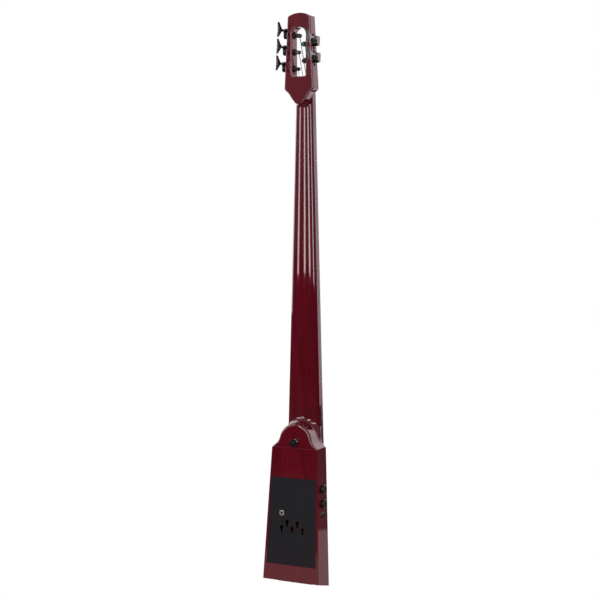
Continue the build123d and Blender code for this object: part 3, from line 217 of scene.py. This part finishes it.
def pale_maple():
    """Plain pale bridge wood with fine flecks under a thin satin finish."""
    material, tree, shader = start_material("pale_maple")
    fleck = object_noise(tree, 700, stretch=(0.12, 1, 1), detail=4.0)
    bands = object_noise(tree, 90, stretch=(0.08, 1, 1), detail=3.0, distortion=0.7)
    base = ramp(tree, bands, (0.44, 0.25, 0.11), (0.62, 0.40, 0.20), at=(0.3, 0.7))
    colour = mix(tree, remap(tree, fleck, 0.0, 0.6, source=(0.58, 0.72)), base, (0.30, 0.16, 0.07))
    smooth, _ = rounded_normal(tree, 0.0005)
    fill(
        shader,
        Base_Color=colour,
        Roughness=remap(tree, fleck, 0.32, 0.5),
        Normal=bump(tree, fleck, 0.1, 0.0002, smooth),
    )
    return material


def metal(name, low, high, roughness, brushed=(1, 1, 1), scale=600, metallic=1.0, coat=0.0, wear=None):
    """Metal or plated surface: colour and roughness vary, bump from fine marks, worn edges."""
    material, tree, shader = start_material(name)
    marks = object_noise(tree, scale, stretch=brushed, detail=5.0)
    cloud = object_noise(tree, 55, detail=2.0)
    colour = ramp(tree, cloud, low, high, at=(0.35, 0.65))
    smooth, edge = rounded_normal(tree, 0.0004)
    if wear is not None:
        worn = node(tree, "ShaderNodeMath", {0: edge, 1: remap(tree, marks, 0.0, 1.0, source=(0.35, 0.6))})
        worn.operation = "MULTIPLY"
        colour = mix(tree, worn.outputs[0], colour, wear)
    fill(
        shader,
        Base_Color=colour,
        Metallic=metallic,
        Roughness=remap(tree, marks, roughness[0], roughness[1]),
        Coat_Weight=coat,
        Coat_Roughness=0.06,
        Normal=bump(tree, marks, 0.08, 0.0001, smooth),
    )
    return material


def moulded(name, low, high, roughness, grain=900, depth=0.1, coat=0.0, shine=0.5, edge_share=0.2):
    """Moulded plastic or painted sheet with a fine surface grain and rubbed edges."""
    material, tree, shader = start_material(name)
    texture = object_noise(tree, grain, detail=3.0)
    cloud = object_noise(tree, 18, detail=2.0)
    smooth, edge = rounded_normal(tree, 0.0005)
    cloudy = ramp(tree, cloud, low, high, at=(0.35, 0.65))
    colour = mix(tree, remap(tree, edge, 0.0, edge_share), cloudy, (0.12, 0.12, 0.125))
    fill(
        shader,
        Base_Color=colour,
        Roughness=remap(tree, texture, roughness[0], roughness[1]),
        Specular_IOR_Level=shine,
        Coat_Weight=coat,
        Coat_Roughness=0.08,
        Normal=bump(tree, texture, depth, 0.0002, smooth),
    )
    return material


def wound_string():
    """Flat wound wire: fine turns across the string, brushed bright steel."""
    material, tree, shader = start_material("wound_string")
    place = node(tree, "ShaderNodeTexCoord").outputs["Object"]
    turns = node(
        tree,
        "ShaderNodeTexWave",
        {"Vector": place, "Scale": 420.0, "Distortion": 0.0},
        wave_type="BANDS",
        bands_direction="Z",
        wave_profile="SAW",
    ).outputs["Fac"]
    stain = object_noise(tree, 60, detail=3.0)
    fill(
        shader,
        Base_Color=ramp(tree, stain, (0.30, 0.295, 0.29), (0.46, 0.455, 0.45), at=(0.3, 0.7)),
        Metallic=1.0,
        Roughness=remap(tree, turns, 0.28, 0.42),
        Normal=bump(tree, turns, 0.25, 0.0001),
    )
    return material


def silk(name, low, high):
    """Spun silk thread wound over the string's end: twisted fibres with a soft sheen."""
    material, tree, shader = start_material(name)
    place = node(tree, "ShaderNodeTexCoord").outputs["UV"]
    turn = {"Vector": place, "Scale": (900, 3, 1), "Rotation": (0, 0, 0.25)}
    along = node(tree, "ShaderNodeMapping", turn).outputs["Vector"]
    twist = node(tree, "ShaderNodeTexWave", {"Vector": along, "Scale": 1.0, "Distortion": 1.5})
    fuzz = object_noise(tree, 2600, detail=4.0)
    fill(
        shader,
        Base_Color=ramp(tree, fuzz, low, high, at=(0.3, 0.7)),
        Roughness=0.6,
        Sheen_Weight=0.4,
        Normal=bump(tree, twist.outputs["Fac"], 0.4, 0.0002),
    )
    return material


BLACK_PLATE = ((0.005, 0.005, 0.006), (0.010, 0.010, 0.011))
SATIN_BLACK = ((0.0045, 0.0042, 0.0062), (0.0066, 0.0061, 0.0086))
GLOSS_BLACK = ((0.003, 0.003, 0.0035), (0.006, 0.006, 0.0066))
WARM_STEEL = ((0.42, 0.42, 0.42), (0.55, 0.55, 0.55))
PALE_SILVER = ((0.90, 0.90, 0.91), (0.97, 0.97, 0.98))
YELLOW_BRASS = ((0.60, 0.40, 0.15), (0.74, 0.53, 0.24))
PAD_BRASS = ((0.58, 0.40, 0.18), (0.70, 0.50, 0.25))
PALE_PEARL = ((0.62, 0.61, 0.57), (0.78, 0.77, 0.73))
NUT_BLACK = ((0.018, 0.018, 0.019), (0.03, 0.03, 0.031))
CABLE_BLACK = ((0.02, 0.02, 0.02), (0.035, 0.035, 0.035))
RUBBED_BLACK = (0.03, 0.03, 0.03)
# each entry: name, darkest and lightest colour, then the range of roughness
materials = {
    "lacquered_wood": lacquered_wood(),
    "fingerboard": dark_board(),
    "bridge_wood": pale_maple(),
    "dots": moulded("pale_dots", *PALE_PEARL, (0.15, 0.25)),
    "nut": moulded("dark_nut", *NUT_BLACK, (0.35, 0.5)),
    "cover": moulded(
        "satin_cover", *SATIN_BLACK, (0.5, 0.6), grain=1500, depth=0.08, shine=0.16, edge_share=0.04
    ),
    "black_hardware": metal(
        "black_hardware", *BLACK_PLATE, (0.12, 0.22), metallic=0.35, coat=0.6, wear=RUBBED_BLACK
    ),
    "dark_plate": metal("dark_plate", *GLOSS_BLACK, (0.42, 0.55), metallic=0.2),
    "bright_insert": metal("bright_insert", *PALE_SILVER, (0.16, 0.24)),
    "steel_parts": metal("steel_parts", *WARM_STEEL, (0.22, 0.36), brushed=(1, 1, 0.1)),
    "brass_parts": metal("brass_parts", *YELLOW_BRASS, (0.18, 0.32)),
    "piezo": metal("piezo_brass", *PAD_BRASS, (0.25, 0.4)),
    "knob": moulded(
        "gloss_knob", *GLOSS_BLACK, (0.2, 0.3), 600, 0.04, coat=0.25, shine=0.3, edge_share=0.03
    ),
    "cable": moulded("cable", *CABLE_BLACK, (0.5, 0.65)),
    "string_metal": wound_string(),
}

for row in frame["record"]["subparts"]:
    cad = nodes[row["node"]]
    cad.data.materials.clear()
    cad.data.materials.append(materials[row["material_slot"]])


# ================================================================ dimensions, millimetres
_, body_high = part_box("body")
BODY_TOP = body_high.z / MM
ORIGIN_Y = 22.7
BODY_HALF_TOP = 60.8
BODY_HALF_BOTTOM = 75.3
REAR_LOW_Z, REAR_LOW_Y, REAR_TOP_Y = 15, 82.5, 60.9
FRONT_LOW_Y, FRONT_TOP_Y = 24.5, 11.7
ARCH_Z, ARCH_R = 351.8, 42.5
NECK_HALF_LOW, NECK_SLOPE = 44, 0.0266
NECK_SIDE, NECK_BACK_LOW, NECK_BACK_TOP = 6, 22, 15
NECK_END_Z = 1195
PAD_LOW = 305
HEAD_FRONT_LOW_Y, HEAD_FRONT_TOP_Y, HEAD_REAR_Y = 6.8, 10.6, 38.3
STRING_FLOOR_Y = 8.3
HEAD_HALF_LOW, HEAD_HALF_TOP = 38.5, 29.6
HEAD_LOW_Z, HEAD_TOP_Z = 1191, 1362
OVERALL = 1370
TONGUE_Z = 1155.8
SLOT_HALF, SLOT_LOW_Z, SLOT_TOP_Z = 18, 1221, 1337
SLOT_CORNER = 6
RECESS_TOP_Z = SLOT_LOW_Z + SLOT_CORNER + 1

rear_slope = (REAR_LOW_Y - REAR_TOP_Y) / (BODY_TOP - REAR_LOW_Z)
front_slope = (FRONT_LOW_Y - FRONT_TOP_Y) / BODY_TOP
side_slope = (BODY_HALF_BOTTOM - BODY_HALF_TOP) / BODY_TOP
head_slope = (HEAD_HALF_LOW - HEAD_HALF_TOP) / (HEAD_TOP_Z - HEAD_LOW_Z)
head_angle = atan(head_slope)
head_mid_y = (HEAD_FRONT_LOW_Y + HEAD_FRONT_TOP_Y) / 4 + HEAD_REAR_Y / 2


def rear_y(z):
    """y of the flat back of the body at height z."""
    return REAR_LOW_Y - rear_slope * (z - REAR_LOW_Z)


def front_y(z):
    """y of the flat front of the body at height z."""
    return FRONT_LOW_Y - front_slope * z


def body_half(z):
    """Half width of the body at height z."""
    return BODY_HALF_BOTTOM - side_slope * z


def neck_half(z):
    """Half width of the neck at height z."""
    return NECK_HALF_LOW - NECK_SLOPE * (z - BODY_TOP)


def head_half(z):
    """Half width of the headstock at height z."""
    return HEAD_HALF_LOW - head_slope * (z - HEAD_LOW_Z)


# ================================================================ neck as one blended surface
# reach of each rounded corner
HEEL_BLEND = 13
TONGUE_BLEND = 9
FLARE_BLEND = 7
SHAFT_EDGE = 1.2
EDGE_BLEND = 2.6
HEEL_EDGE = 7
HEEL_EDGE_RISE = 26
GRID_STEP = 1.1
GRID_STEP_ALONG = 6.0


def blend(a, b, reach):
    """Union of two distance fields with a rounded inside corner."""
    share = np.clip(reach - np.abs(a - b), 0, None) / reach
    return np.minimum(a, b) - share * share * reach / 4


def trim(a, b, reach):
    """Intersection of two distance fields with a rounded outside corner."""
    return -blend(-a, -b, reach)


def rounded_corners(points, reach, steps=4):
    """Polyline with each inner corner swapped for a short curve."""
    path = [points[0]]
    for before, here, after in zip(points[:-2], points[1:-1], points[2:]):
        before, here, after = Vector(before), Vector(here), Vector(after)
        start = here + (before - here).normalized() * reach
        end = here + (after - here).normalized() * reach
        for step in range(steps + 1):
            t = step / steps
            path.append(tuple((1 - t) ** 2 * start + 2 * t * (1 - t) * here + t * t * end))
    path.append(points[-1])
    return path


TIP_HALF, TIP_Z = 12, 1161
TONGUE_SIDE = [(TIP_HALF, TIP_Z), (19, 1168.5), (27.5, 1182)]
CORNER_REACH = 3.5


def head_outline():
    """Right half of the headstock's outline from the tongue's tip up to the crown."""
    sweep = np.linspace(0, pi / 2, 7)[:-1]
    tip = [(TIP_HALF * sin(a), TIP_Z - (TIP_Z - TONGUE_Z) * cos(a)) for a in sweep]
    side = TONGUE_SIDE + [(HEAD_HALF_LOW, HEAD_LOW_Z), (HEAD_HALF_TOP, HEAD_TOP_Z)]
    rise = OVERALL - HEAD_TOP_Z
    crown_r = (HEAD_HALF_TOP**2 + rise**2) / (2 * rise)
    crown_x = np.linspace(HEAD_HALF_TOP, 0, 8)[1:]
    crown = [(x, OVERALL - crown_r + (crown_r**2 - x**2) ** 0.5) for x in crown_x]
    return tip + rounded_corners(side, CORNER_REACH) + crown


HEAD_OUTLINE = head_outline()


def outline_distance(x, z, outline):
    """Signed distance to a half outline that is mirrored about x = 0; x is not negative."""
    nearest = np.full(x.shape, 1e9)
    inside = np.zeros(x.shape, bool)
    ring = [(-1, outline[0][1])] + outline + [(-1, outline[-1][1])]
    for (ax, az), (bx, bz) in zip(ring, ring[1:] + ring[:1]):
        dx, dz = bx - ax, bz - az
        if ax >= 0 and bx >= 0:
            along = np.clip(((x - ax) * dx + (z - az) * dz) / (dx * dx + dz * dz), 0, 1)
            nearest = np.minimum(nearest, np.hypot(x - ax - along * dx, z - az - along * dz))
        if az != bz:
            crosses = (az > z) != (bz > z)
            inside ^= crosses & (x < ax + (z - az) * dx / dz)
    return np.where(inside, -nearest, nearest)


def slot_distance(x, z):
    """Signed distance to the slot: round at the top, small corners at the bottom."""
    centre_top = SLOT_TOP_Z - SLOT_HALF
    top = np.hypot(x, z - centre_top) - SLOT_HALF
    out_x = np.clip(x - (SLOT_HALF - SLOT_CORNER), 0, None)
    out_z = np.clip((SLOT_LOW_Z + SLOT_CORNER) - z, 0, None)
    low = np.hypot(out_x, out_z) - SLOT_CORNER
    return np.where(z > centre_top, top, low)


def neck_field(points):
    """Below zero inside the neck: shaft, heel arch, board pad and slotted headstock."""
    x, y, z = np.abs(points[:, 0]), points[:, 1], points[:, 2]
    # shaft: short flat sides and an elliptical back
    half = neck_half(z)
    share = np.clip((z - BODY_TOP) / (NECK_END_Z - BODY_TOP), 0, 1)
    depth = NECK_BACK_LOW + (NECK_BACK_TOP - NECK_BACK_LOW) * share - NECK_SIDE
    up = np.clip(y - NECK_SIDE, 0, None)
    level = np.sqrt((x / half) ** 2 + (up / depth) ** 2) + 1e-6
    steep = np.sqrt((x / half**2) ** 2 + (up / depth**2) ** 2) / level + 1e-6
    shaft = trim((level - 1) / steep, -y, SHAFT_EDGE)
    shaft = np.maximum(shaft, z - NECK_END_Z)
    # heel arch with sloping flares down to the shoulders
    flare_x, flare_z = BODY_HALF_TOP - ARCH_R, ARCH_Z - BODY_TOP
    flare = ((x - BODY_HALF_TOP) * flare_z + (z - BODY_TOP) * flare_x) / np.hypot(flare_x, flare_z)
    outline = blend(np.hypot(x, z - ARCH_Z) - ARCH_R, flare, FLARE_BLEND)
    outline = trim(outline, x - body_half(z), EDGE_BLEND)
    risen = np.clip((z - BODY_TOP - 1) / HEEL_EDGE_RISE, 0, 1)
    heel = trim(outline, y - rear_y(z), EDGE_BLEND + (HEEL_EDGE - EDGE_BLEND) * risen)
    heel = trim(heel, front_y(z) - y, EDGE_BLEND)
    whole = blend(heel, shaft, HEEL_BLEND)
    # headstock plate with its tongue
    plate = trim(outline_distance(x, z, HEAD_OUTLINE), y - HEAD_REAR_Y, EDGE_BLEND)
    head_share = (z - NECK_END_Z) / (OVERALL - NECK_END_Z)
    head_front = HEAD_FRONT_LOW_Y + (HEAD_FRONT_TOP_Y - HEAD_FRONT_LOW_Y) * head_share
    plate = trim(plate, head_front - y, EDGE_BLEND)
    whole = blend(whole, plate, TONGUE_BLEND)
    whole = trim(whole, -slot_distance(x, z), EDGE_BLEND)
    recess_sides = [x - SLOT_HALF, y - STRING_FLOOR_Y, NECK_END_Z - z, z - RECESS_TOP_Z]
    whole = np.maximum(whole, -np.maximum.reduce(recess_sides))
    # flat joint on the body, and the pad under the fingerboard's end
    whole = np.maximum(whole, BODY_TOP - z)
    pad_sides = [x - NECK_HALF_LOW, -y, y - front_y(z), PAD_LOW - z, z - BODY_TOP - 1]
    return np.minimum(whole, np.maximum.reduce(pad_sides))


def in_chunks(field, points, size=400000):
    """Evaluate a field over many points without large temporary arrays."""
    return np.concatenate([field(points[i : i + size]) for i in range(0, len(points), size)])


PROBE = 0.02
LEAST_SLOPE = 0.2
LONGEST_MOVE = 0.6 * GRID_STEP
SMOOTH_ROUNDS = 2
FIRST_PULLS, LATER_PULLS = 5, 3


def pull_to_surface(field, points, rounds):
    """Move points along the field's gradient until they lie on its zero surface."""
    for _ in range(rounds):
        value = in_chunks(field, points)
        slope = np.empty_like(points)
        for axis in range(3):
            shift = np.zeros(3)
            shift[axis] = PROBE
            ahead = in_chunks(field, points + shift)
            behind = in_chunks(field, points - shift)
            slope[:, axis] = (ahead - behind) / (2 * PROBE)
        size = np.clip((slope**2).sum(1), LEAST_SLOPE, None)
        move = -slope * (value / size)[:, None]
        length = np.linalg.norm(move, axis=1)[:, None]
        points = points + move * np.minimum(1, LONGEST_MOVE / np.maximum(length, 1e-9))
    return points


def surface_mesh(field, axes):
    """Smooth quad mesh of a field's zero surface on a grid: one vertex per crossed cell."""
    shape = [len(axis) for axis in axes]
    grid = np.stack(np.meshgrid(*axes, indexing="ij"), -1).reshape(-1, 3)
    inside = (in_chunks(field, grid) < 0).reshape(shape)
    cells = [n - 1 for n in shape]
    count = np.zeros(cells, np.int8)
    for i in (0, 1):
        for j in (0, 1):
            for k in (0, 1):
                count += inside[i : i + cells[0], j : j + cells[1], k : k + cells[2]]
    crossed = (count > 0) & (count < 8)
    number = np.full(cells, -1)
    number[crossed] = np.arange(crossed.sum())
    where = np.argwhere(crossed)
    points = np.stack([(axes[a][where[:, a]] + axes[a][where[:, a] + 1]) / 2 for a in range(3)], -1)
    faces = []
    for axis in range(3):
        u, v = [(1, 2), (2, 0), (0, 1)][axis]
        low = [slice(None)] * 3
        high = [slice(None)] * 3
        low[axis], high[axis] = slice(0, -1), slice(1, None)
        a, b = inside[tuple(low)], inside[tuple(high)]
        edge = np.argwhere(a != b)
        from_low = (edge[:, u] > 0) & (edge[:, v] > 0)
        from_high = (edge[:, u] < cells[u]) & (edge[:, v] < cells[v])
        edge = edge[from_low & from_high]
        corners = []
        for du, dv in ((-1, -1), (0, -1), (0, 0), (-1, 0)):
            cell = edge.copy()
            cell[:, u] += du
            cell[:, v] += dv
            corners.append(number[tuple(cell.T)])
        quad = np.stack(corners, -1)
        flip = ~a[tuple(edge.T)]
        quad[flip] = quad[flip][:, ::-1]
        faces.append(quad)
    faces = np.concatenate(faces)
    points = pull_to_surface(field, points, FIRST_PULLS)
    for _ in range(SMOOTH_ROUNDS):
        total = np.zeros_like(points)
        hits = np.zeros(len(points))
        for i, j in ((0, 1), (1, 2), (2, 3), (3, 0)):
            for s, t in ((i, j), (j, i)):
                np.add.at(total, faces[:, s], points[faces[:, t]])
                np.add.at(hits, faces[:, s], 1)
        points = pull_to_surface(field, 0.5 * points + 0.5 * total / hits[:, None], LATER_PULLS)
    return points, faces


def mesh_object(name, points, faces, slot, body):
    """Smooth-shaded mesh piece, made from millimetres, that rides on a CAD body."""
    mesh = bpy.data.meshes.new(name)
    corners = [tuple(p) for p in np.asarray(points) * MM]
    mesh.from_pydata(corners, [], [tuple(map(int, face)) for face in faces])
    mesh.polygons.foreach_set("use_smooth", [True] * len(mesh.polygons))
    mesh.materials.append(materials[slot])
    mesh.update()
    made = bpy.data.objects.new(name, mesh)
    bpy.context.scene.collection.objects.link(made)
    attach(made, body)
    return made


def fine_axis(*stops):
    """Grid lines through (start, end, step) stretches that follow each other."""
    parts = [np.arange(start, end, step) for start, end, step in stops]
    return np.concatenate(parts)


# the grid is coarse along the plain shaft; half a step keeps the joint in the middle of a cell
GRID_LEFT, GRID_RIGHT = -62.5, 63
GRID_FRONT, GRID_REAR = -1.1, 63
GRID_LOW_Z = BODY_TOP - 28.5 * GRID_STEP
PLAIN_LOW_Z, PLAIN_TOP_Z = 412, 1136
JOINT_SNAP = 0.6
neck_axes = (
    fine_axis((GRID_LEFT, GRID_RIGHT, GRID_STEP)),
    fine_axis((GRID_FRONT, GRID_REAR, GRID_STEP)),
    fine_axis(
        (GRID_LOW_Z, PLAIN_LOW_Z, GRID_STEP),
        (PLAIN_LOW_Z, PLAIN_TOP_Z, GRID_STEP_ALONG),
        (PLAIN_TOP_Z, OVERALL + 3, GRID_STEP),
    ),
)
neck_points, neck_faces = surface_mesh(neck_field, neck_axes)
# the ring that meets the body lies exactly on the joint
near_joint = np.abs(neck_points[:, 2] - BODY_TOP) < JOINT_SNAP
joint_ring = near_joint & (neck_points[:, 1] > FRONT_TOP_Y - 1)
neck_points[joint_ring, 2] = BODY_TOP
neck_points[:, 1] -= ORIGIN_Y
neck = mesh_object("neck_smooth", neck_points, neck_faces, "lacquered_wood", "frame")
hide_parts("neck")

# ================================================================ tuner keys
TUNERS = ((1, 1319), (1, 1280), (1, 1241), (-1, 1299), (-1, 1260))
WORM_UP, WORM_OUT = 10.1, 6.4
BASS_KEY_TURN = -6
KEY_RING = 20
# stations along the key: distance from the worm, half span, half thickness
KEY_STATIONS = (
    (13.0, 2.6, 2.6),
    (10.6, 3.0, 3.0),
    (10.4, 4.2, 4.2),
    (11.2, 4.6, 4.6),
    (12.6, 4.2, 4.2),
    (16.0, 3.4, 3.4),
    (21.0, 2.9, 2.9),
    (26.0, 3.0, 3.0),
    (31.0, 4.2, 3.2),
    (35.0, 6.6, 3.4),
    (38.4, 9.8, 3.4),
    (41.2, 13.0, 3.4),
    (43.6, 16.0, 3.2),
    (45.8, 17.9, 2.8),
    (47.4, 18.0, 2.6),
    (48.0, 17.3, 1.8),
)
KEY_END_CURVE, KEY_CURVE_SPAN = 2.4, 16
# distances from the worm where the blade starts to flatten, to curve and to bow
BLADE_START, CURVE_START, BOW_START = 21, 40, 42.5
ROUND_SPAN, FLAT_SPAN = 3, 9
BOXY = 0.62


def tuner_frame(side, z):
    """Matrix from a tuner's own frame to the row frame: x back, y up the side, z outwards."""
    outward = Vector((side * cos(head_angle), 0, sin(head_angle)))
    upward = Vector((-side * sin(head_angle), 0, cos(head_angle)))
    columns = Matrix((Vector((0, 1, 0)), upward, outward)).transposed().to_4x4()
    columns.translation = Vector((side * head_half(z), head_mid_y - ORIGIN_Y, z))
    return columns


def key_mesh(turn):
    """Fishtail key lofted through its stations, closed at both ends, in the tuner's frame."""
    points, faces = [], []
    for along, span, thick in KEY_STATIONS:
        flat = min(1, max(0, (span - ROUND_SPAN) / (FLAT_SPAN - ROUND_SPAN)))
        flat = flat if along > BLADE_START else 0
        power = 1 - BOXY * flat
        bow = -KEY_END_CURVE * flat if along > BOW_START else 0
        for step in range(KEY_RING):
            angle = 2 * pi * step / KEY_RING
            c, s = cos(angle), sin(angle)
            wide = span * abs(c) ** power * (1 if c > 0 else -1)
            deep = thick * abs(s) ** power * (1 if s > 0 else -1)
            share = (wide / KEY_CURVE_SPAN) ** 2 * flat
            curve = KEY_END_CURVE * share if along > CURVE_START else 0
            points.append((along + curve + bow, wide, deep))
    rows = len(KEY_STATIONS)
    for row in range(rows - 1):
        for step in range(KEY_RING):
            after = (step + 1) % KEY_RING
            a, b = row * KEY_RING + step, row * KEY_RING + after
            faces.append((a, b, b + KEY_RING, a + KEY_RING))
    for row, order in ((0, -1), (rows - 1, 1)):
        first = row * KEY_RING
        for step in range(KEY_RING // 2 - 1):
            quad = (step, step + 1, KEY_RING - 2 - step, KEY_RING - 1 - step)
            faces.append(tuple(first + i for i in quad[:: -order]))
    spin = Matrix.Rotation(radians(turn), 3, "X")
    offset = Vector((0, WORM_UP, WORM_OUT))
    return [spin @ Vector(p) + offset for p in points], faces


for number, (side, z) in enumerate(TUNERS, start=1):
    turn = BASS_KEY_TURN if side < 0 else 0
    local, faces = key_mesh(turn)
    place = tuner_frame(side, z)
    if side > 0:
        faces = [face[::-1] for face in faces]
    points = [tuple(place @ p) for p in local]
    key = mesh_object(f"key_smooth_{number}", points, faces, "black_hardware", f"key_{number}")
    smooth = key.modifiers.new("smooth", "SUBSURF")
    smooth.levels = 2
    smooth.render_levels = 2
    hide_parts(f"key_{number}")

# ================================================================ string turns round the posts
WIND_DEPTH = 25.5
POST_WAIST_R = 3.5
STRING_R = {"g": 0.6, "d": 0.8, "a": 1.05, "e": 1.35, "b": 1.7}
STRING_OF_TUNER = ("a", "d", "g", "e", "b")
SILK = {
    "g": ((0.030, 0.003, 0.006), (0.070, 0.006, 0.010)),
    "d": ((0.10, 0.07, 0.015), (0.22, 0.17, 0.04)),
    "a": ((0.010, 0.004, 0.013), (0.022, 0.009, 0.028)),
    "e": ((0.004, 0.05, 0.026), (0.010, 0.13, 0.065)),
    "b": ((0.003, 0.005, 0.022), (0.007, 0.011, 0.05)),
}
TURNS = 3.25
STEPS_PER_TURN = 24
COIL_WIDTH = 6.4
SILK_SHARE, COIL_LIFT, COIL_PITCH = 0.98, 1.02, 1.03


def winding(number, side, z, name):
    """Coil of silk-covered string on one post, as a round-section curve that rides on the post."""
    radius = STRING_R[name]
    curve = bpy.data.curves.new(f"winding_{name}", "CURVE")
    curve.dimensions = "3D"
    curve.bevel_depth = radius * SILK_SHARE * MM
    curve.bevel_resolution = 4
    curve.use_fill_caps = True
    spline = curve.splines.new("POLY")
    steps = int(TURNS * STEPS_PER_TURN)
    spline.points.add(steps)
    place = tuner_frame(side, z)
    reach = POST_WAIST_R + radius * COIL_LIFT
    pitch = min(2 * radius * COIL_PITCH, COIL_WIDTH / TURNS)
    for step in range(steps + 1):
        angle = -pi + 2 * pi * step / STEPS_PER_TURN
        depth = -WIND_DEPTH - pitch * (TURNS / 2 - step / STEPS_PER_TURN)
        local = Vector((reach * cos(angle), reach * sin(angle), depth))
        spline.points[step].co = (*((place @ local) * MM), 1)
    curve.materials.append(silk(f"silk_{name}", *SILK[name]))
    made = bpy.data.objects.new(f"winding_{name}", curve)
    bpy.context.scene.collection.objects.link(made)
    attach(made, f"post_{number}")


for number, ((side, z), name) in enumerate(zip(TUNERS, STRING_OF_TUNER), start=1):
    winding(number, side, z, name)

# ================================================================ floor, light and camera
low, high = cad_box
FLOOR_HALF = 30.0
# the floor's painted bounce glow: its level near the object, its level farther off, the step between them,
# then a fade
FLOOR_GLOW_NEAR, FLOOR_GLOW_FAR = 0.72, 0.15
FLOOR_STEP = (0.70, 0.74)
FLOOR_FADE = (1.6, 4.5)
FLOOR_LEAST = 0.2
WARM = (1.0, 0.80, 0.77, 1)
WHITE = (1, 1, 1, 1)
ROOM_LOW, ROOM_HIGH = 0.03, 0.45
ROOM_RISE = (-0.08, 0.16)


def floor():
    """Wide pale floor: white to the camera; elsewhere a painted bounce glow that falls off away from the
    object.
    """
    material, tree, _ = start_material("pale_floor")
    place = node(tree, "ShaderNodeNewGeometry").outputs["Position"]
    away = node(tree, "ShaderNodeVectorMath", {0: place}, operation="LENGTH").outputs["Value"]
    near = remap(tree, away, FLOOR_GLOW_NEAR, FLOOR_GLOW_FAR, source=FLOOR_STEP)
    fade = remap(tree, away, 1.0, FLOOR_LEAST, source=FLOOR_FADE)
    level = node(tree, "ShaderNodeMath", {0: near, 1: fade}, operation="MULTIPLY").outputs[0]
    # painted bounce glow: the floor itself emits warm light to light and reflection rays, brightest near
    # the object
    painted_bounce_glow = node(tree, "ShaderNodeEmission", {"Color": WARM, "Strength": level})
    glow = node(tree, "ShaderNodeEmission", {"Color": WHITE, "Strength": 1.0})
    ray = node(tree, "ShaderNodeLightPath").outputs["Is Camera Ray"]
    blended = node(tree, "ShaderNodeMixShader", {0: ray, 1: painted_bounce_glow.outputs[0], 2: glow.outputs[0]})
    tree.links.new(blended.outputs[0], tree.nodes["Material Output"].inputs["Surface"])
    corners = [(-1, -1), (1, -1), (1, 1), (-1, 1)]
    mesh = bpy.data.meshes.new("floor")
    mesh.from_pydata([(a * FLOOR_HALF, b * FLOOR_HALF, low.z) for a, b in corners], [], [(0, 1, 2, 3)])
    mesh.materials.append(material)
    made = bpy.data.objects.new("floor", mesh)
    bpy.context.scene.collection.objects.link(made)


def world():
    """White to the camera; for light and reflections a room that brightens upwards."""
    made = bpy.data.worlds.new("studio")
    bpy.context.scene.world = made
    made.use_nodes = True
    tree = made.node_tree
    direction = node(tree, "ShaderNodeTexCoord").outputs["Generated"]
    height = node(tree, "ShaderNodeSeparateXYZ", {"Vector": direction}).outputs["Z"]
    level = remap(tree, height, ROOM_LOW, ROOM_HIGH, source=ROOM_RISE)
    room = node(tree, "ShaderNodeBackground", {"Color": WHITE, "Strength": level})
    white = node(tree, "ShaderNodeBackground", {"Color": WHITE, "Strength": 1.0})
    ray = node(tree, "ShaderNodeLightPath").outputs["Is Camera Ray"]
    blended = node(tree, "ShaderNodeMixShader", {0: ray, 1: room.outputs[0], 2: white.outputs[0]})
    tree.links.new(blended.outputs[0], tree.nodes["World Output"].inputs["Surface"])


def soft_box(name, bearing, distance, height, width, tall, radiance, tint=(1, 1, 1)):
    """Upright rectangular light that faces the object; bearing 0 is behind it, 90 on the bass side."""
    light = bpy.data.lights.new(name, "AREA")
    light.shape = "RECTANGLE"
    light.size = width
    light.size_y = tall
    light.energy = radiance * pi * width * tall
    light.color = tint
    made = bpy.data.objects.new(name, light)
    bpy.context.scene.collection.objects.link(made)
    angle = radians(bearing)
    aim = Vector((0, LIGHT_AIM_Y, height))
    made.location = aim + Vector((-sin(angle), cos(angle), 0)) * distance
    made.rotation_mode = "QUATERNION"
    made.rotation_quaternion = (made.location - aim).to_track_quat("Z", "Y")
    made.visible_camera = False
    return made


floor()
world()
LIGHT_AIM_Y = 0.03
ROSE = (1.0, 0.76, 0.86)
# name, bearing, distance, centre height, width, height, radiance, and a tint where it is not white
SOFT_BOXES = (
    ("wide_left", -100, 2.4, 1.60, 1.1, 2.2, 4.5),
    ("strip_left", -44, 2.6, 1.75, 0.36, 2.2, 8.0),
    ("strip_rear_left", -17.5, 2.8, 1.75, 0.32, 2.2, 9.0),
    ("strip_rear", 5, 3.0, 1.75, 0.45, 2.2, 9.0),
    ("strip_rear_right", 37, 2.6, 1.75, 0.50, 2.2, 8.0),
    ("panel_low", 153.5, 1.3, 0.74, 1.2, 0.92, 1.9, ROSE),
    ("panel_high", 153.5, 1.3, 1.80, 1.2, 1.2, 1.35, ROSE),
    ("front_left", -150, 2.8, 1.55, 2.0, 2.8, 1.2),
)
for values in SOFT_BOXES:
    soft_box(*values)

CAMERA_BEARING = 26.53
CAMERA_ELEVATION = 4.085
CAMERA_DISTANCE = 3.3874
CAMERA_AIM = (0.01516, -0.02222, 0.6871)
CAMERA_LENS = 83.86
CAMERA_FAR = 200

camera_data = bpy.data.cameras.new("camera")
camera_data.lens = CAMERA_LENS
camera_data.clip_end = CAMERA_FAR
camera = bpy.data.objects.new("camera", camera_data)
bpy.context.scene.collection.objects.link(camera)
bearing, lift = radians(CAMERA_BEARING), radians(CAMERA_ELEVATION)
back = Vector((-sin(bearing) * cos(lift), cos(bearing) * cos(lift), sin(lift)))
camera.location = Vector(CAMERA_AIM) + back * CAMERA_DISTANCE
camera.rotation_mode = "QUATERNION"
camera.rotation_quaternion = back.to_track_quat("Z", "Y")
bpy.context.scene.camera = camera
bpy.context.scene.view_settings.view_transform = "Standard"
